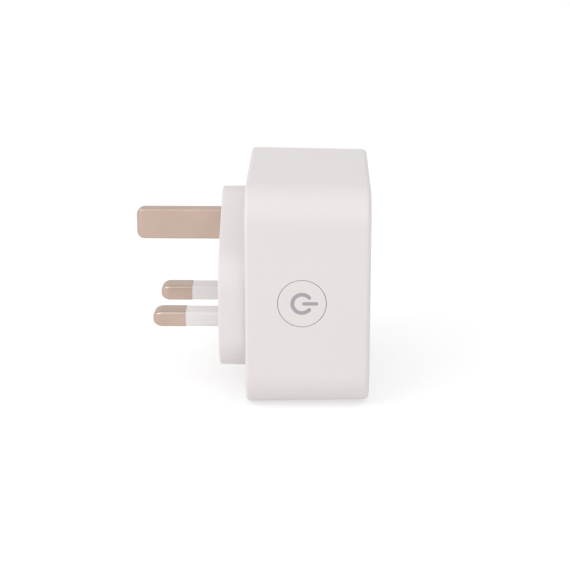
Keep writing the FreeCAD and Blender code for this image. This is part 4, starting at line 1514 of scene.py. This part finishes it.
@dataclass
class Spring:
    """The shutter's closing spring. The real spring shortens as the shutter drops; this one keeps its length.
    """

    foot: Point = (0.0, -34.3, -37.8)
    length: float = 11.8
    radius: float = 0.9
    wire: float = 0.3
    gap: float = 0.05
    turns: int = 6
    steps: int = 24
    sides: int = 12
    drop: float = 6.2
    shade_angle: float = 40.0

    def model(self) -> bpy.types.Object:
        """Models the spring: one ring of wire, wound up round the spring's axis.

        Returns:
            The finished spring.
        """
        bpy.ops.object.select_all(action="DESELECT")
        bpy.ops.mesh.primitive_circle_add(
            vertices=self.sides,
            radius=self.wire / 2 * MM,
            location=(self.radius * MM, 0, 0),
            rotation=(math.pi / 2, 0, 0),
        )
        coil = named("coil_spring")
        wind = coil.modifiers.new("wind", "SCREW")
        wind.iterations = self.turns
        wind.screw_offset = (self.length - self.wire - 2 * self.gap) / self.turns * MM
        wind.steps = wind.render_steps = self.steps
        bpy.ops.object.modifier_apply(modifier="wind")
        open_mesh(coil)
        bpy.ops.mesh.select_all(action="SELECT")
        bpy.ops.mesh.remove_doubles(threshold=WELD)
        bpy.ops.mesh.fill_holes(sides=self.sides)
        bpy.ops.mesh.normals_make_consistent(inside=False)
        close_mesh()
        x, y, z = self.foot
        coil.data.transform(Matrix.Translation(metres((x, y, z + self.gap + self.wire / 2))))
        smooth(coil, self.shade_angle)
        return coil

    def shorten(self, coil: bpy.types.Object) -> None:
        """Gives the spring a mesh of its own.

        Args:
            coil: The finished spring.
        """
        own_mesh(coil)


# ---------------------------------------------------------------- studio


@dataclass(frozen=True)
class Panel:
    """A square soft light."""

    name: str
    place: Point
    size: float
    power: float

    def hang(self, target: Point) -> None:
        """Hangs the panel so that it faces a target.

        Args:
            target: Where it faces.
        """
        data = bpy.data.lights.new(self.name, "AREA")
        data.size = self.size * MM
        data.energy = self.power
        light = bpy.data.objects.new(self.name, data)
        light.location = metres(self.place)
        aim = metres(target) - metres(self.place)
        light.rotation_euler = aim.to_track_quat("-Z", "Y").to_euler()
        bpy.context.scene.collection.objects.link(light)


@dataclass
class Studio:
    """The pale floor, the soft light and the long lens."""

    distance: float = 422.107
    rise: float = 17.499
    swing: float = 1.253
    roll: float = -0.097
    target: Point = (0.0, -16.182, -17.201)
    focal: float = 100.3
    dome: float = 0.88
    key: Panel = Panel("key_panel", (-700.0, -50.0, 900.0), 1500.0, 3.6)
    fill: Panel = Panel("fill_panel", (-420.0, 560.0, 420.0), 700.0, 2.6)
    glow: float = 0.48
    floor: float = 6000.0
    near: float = 10.0

    def build(self) -> None:
        """Sets the studio up."""
        self.place_camera()
        self.lay_floor()
        self.hang_lights()

    def place_camera(self) -> None:
        """Puts a long lens level with the button's side, a little above it."""
        rise, swing = math.radians(self.rise), math.radians(self.swing)
        level = math.cos(rise)
        back = Vector((-level * math.cos(swing), -level * math.sin(swing), math.sin(rise)))
        right = (-back).cross(Vector((0, 0, 1))).normalized()
        up = right.cross(-back)
        turn = Matrix((right, up, back)).transposed() @ Matrix.Rotation(math.radians(self.roll), 3, "Z")
        data = bpy.data.cameras.new("camera")
        data.lens = self.focal
        data.clip_start = self.near * MM
        camera = bpy.data.objects.new("camera", data)
        place = metres(self.target) + back * self.distance * MM
        camera.matrix_world = Matrix.Translation(place) @ turn.to_4x4()
        bpy.context.scene.collection.objects.link(camera)
        bpy.context.scene.camera = camera

    def lay_floor(self) -> None:
        """Lays a large sheet of white acrylic under the object, lit softly from below."""
        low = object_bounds()[0]
        bpy.ops.object.select_all(action="DESELECT")
        bpy.ops.mesh.primitive_plane_add(size=self.floor * MM, location=(0, 0, low[2]))
        floor = named("floor")
        # Matt white acrylic, lit softly from below: an even white that keeps only a pale shadow.
        sheet = MouldedPlastic(
            "backlit_acrylic", "#bcbcbc", roughness=0.85, grain_mm=0.8, drift=0.004, drift_mm=200
        ).make()
        shader = sheet.node_tree.nodes["Principled BSDF"]
        shader.inputs["Emission Color"].default_value = (1, 1, 1, 1)
        shader.inputs["Emission Strength"].default_value = self.glow
        floor.data.materials.append(sheet)
        floor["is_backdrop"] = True

    def hang_lights(self) -> None:
        """Lights the object from a bright even dome, a large soft panel and a weaker one beyond the pins."""
        world = bpy.data.worlds.new("studio")
        bpy.context.scene.world = world
        world.use_nodes = True
        sky = world.node_tree.nodes["Background"]
        sky.inputs["Color"].default_value = (1, 1, 1, 1)
        sky.inputs["Strength"].default_value = self.dome
        self.key.hang(self.target)
        self.fill.hang(self.target)
        bpy.context.scene.view_settings.view_transform = "Standard"


def main() -> None:
    """Builds the pieces and the studio in order and reports each piece."""
    logging.basicConfig(level=logging.INFO)
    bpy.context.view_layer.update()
    # Satin white ABS from an etched mould: reads as soft matt white with a faint sheen on the rounds.
    shell_white = MouldedPlastic("satin_white_abs", "#d1cccb").make()
    # The button is moulded in the same resin but polished, so it is a touch smoother.
    button_white = MouldedPlastic(
        "polished_white_abs", "#d1ccca", roughness=0.34, grain_rise_mm=0.002
    ).make()
    # Grey-lilac resin of the inlaid mark.
    mark_grey = MouldedPlastic("grey_inlay_resin", "#9a939a", roughness=0.5).make()
    # Tumbled brass with a thin dull plating: pinkish beige with long soft lines.
    pin_metal = DrawnMetal("tumbled_plated_brass", "#c8b2a5", "#b9a497").make()
    # Pale insulating sleeve, slightly translucent.
    sleeve_white = MouldedPlastic("pale_sleeve_nylon", "#d6d2d1", roughness=0.45, subsurface=0.15).make()
    # Bright zinc on the screws.
    screw_steel = DrawnMetal("zinc_plated_steel", "#b9bbbd", "#a3a5a8", roughness=0.3).make()

    install(Case().model(), shell_white, "front_cover", "case")
    install(Base().model(), shell_white, "rear_base", "case")
    cap, mark = Button().model()
    install(cap, button_white, "power_button", "button")
    install(mark, mark_grey, "button_mark", "button")
    earth = Pin(
        "earth_pin_bar", 0.0, 0.0, *EARTH_PIN, length=22.7, edge=0.42, nose=1.9, run=2.0, tail_radius=1.7
    )
    install(earth.model(), pin_metal, "earth_pin", "case")
    # The power pins' edge round has to stay wider than the neck's inset, or the neck's outline folds over.
    power = {"length": 17.7, "edge": 0.62, "nose": 1.6, "run": 2.4, "neck": 0.55, "sleeve": SLEEVE_END}
    for side, x in (("live", POWER_X), ("neutral", -POWER_X)):
        pin = Pin(f"{side}_pin_bar", x, POWER_Z, *POWER_PIN, **power)
        install(pin.model(), pin_metal, f"{side}_pin", "case")
        sleeve = Sleeve(f"{side}_pin_sleeve", x).model()
        install(sleeve, sleeve_white, f"{side}_sleeve", "case")
    install(Screws().model(), screw_steel, "case_screws", "case")
    # Patented spring wire: grey and bright.
    spring_steel = DrawnMetal("drawn_spring_wire", "#b4b6ba", "#94979c", roughness=0.25, line_mm=0.08).make()
    spring = Spring()
    coil = spring.model()
    install(coil, spring_steel, "shutter_spring", "case")
    spring.shorten(coil)
    for finish, nodes in INSIDE.items():
        material = finish.make()
        for node in nodes:
            dress(node, material)
            LOG.info("%s: %s", node, material.name)
    Studio().build()


if __name__ == "__main__":
    main()
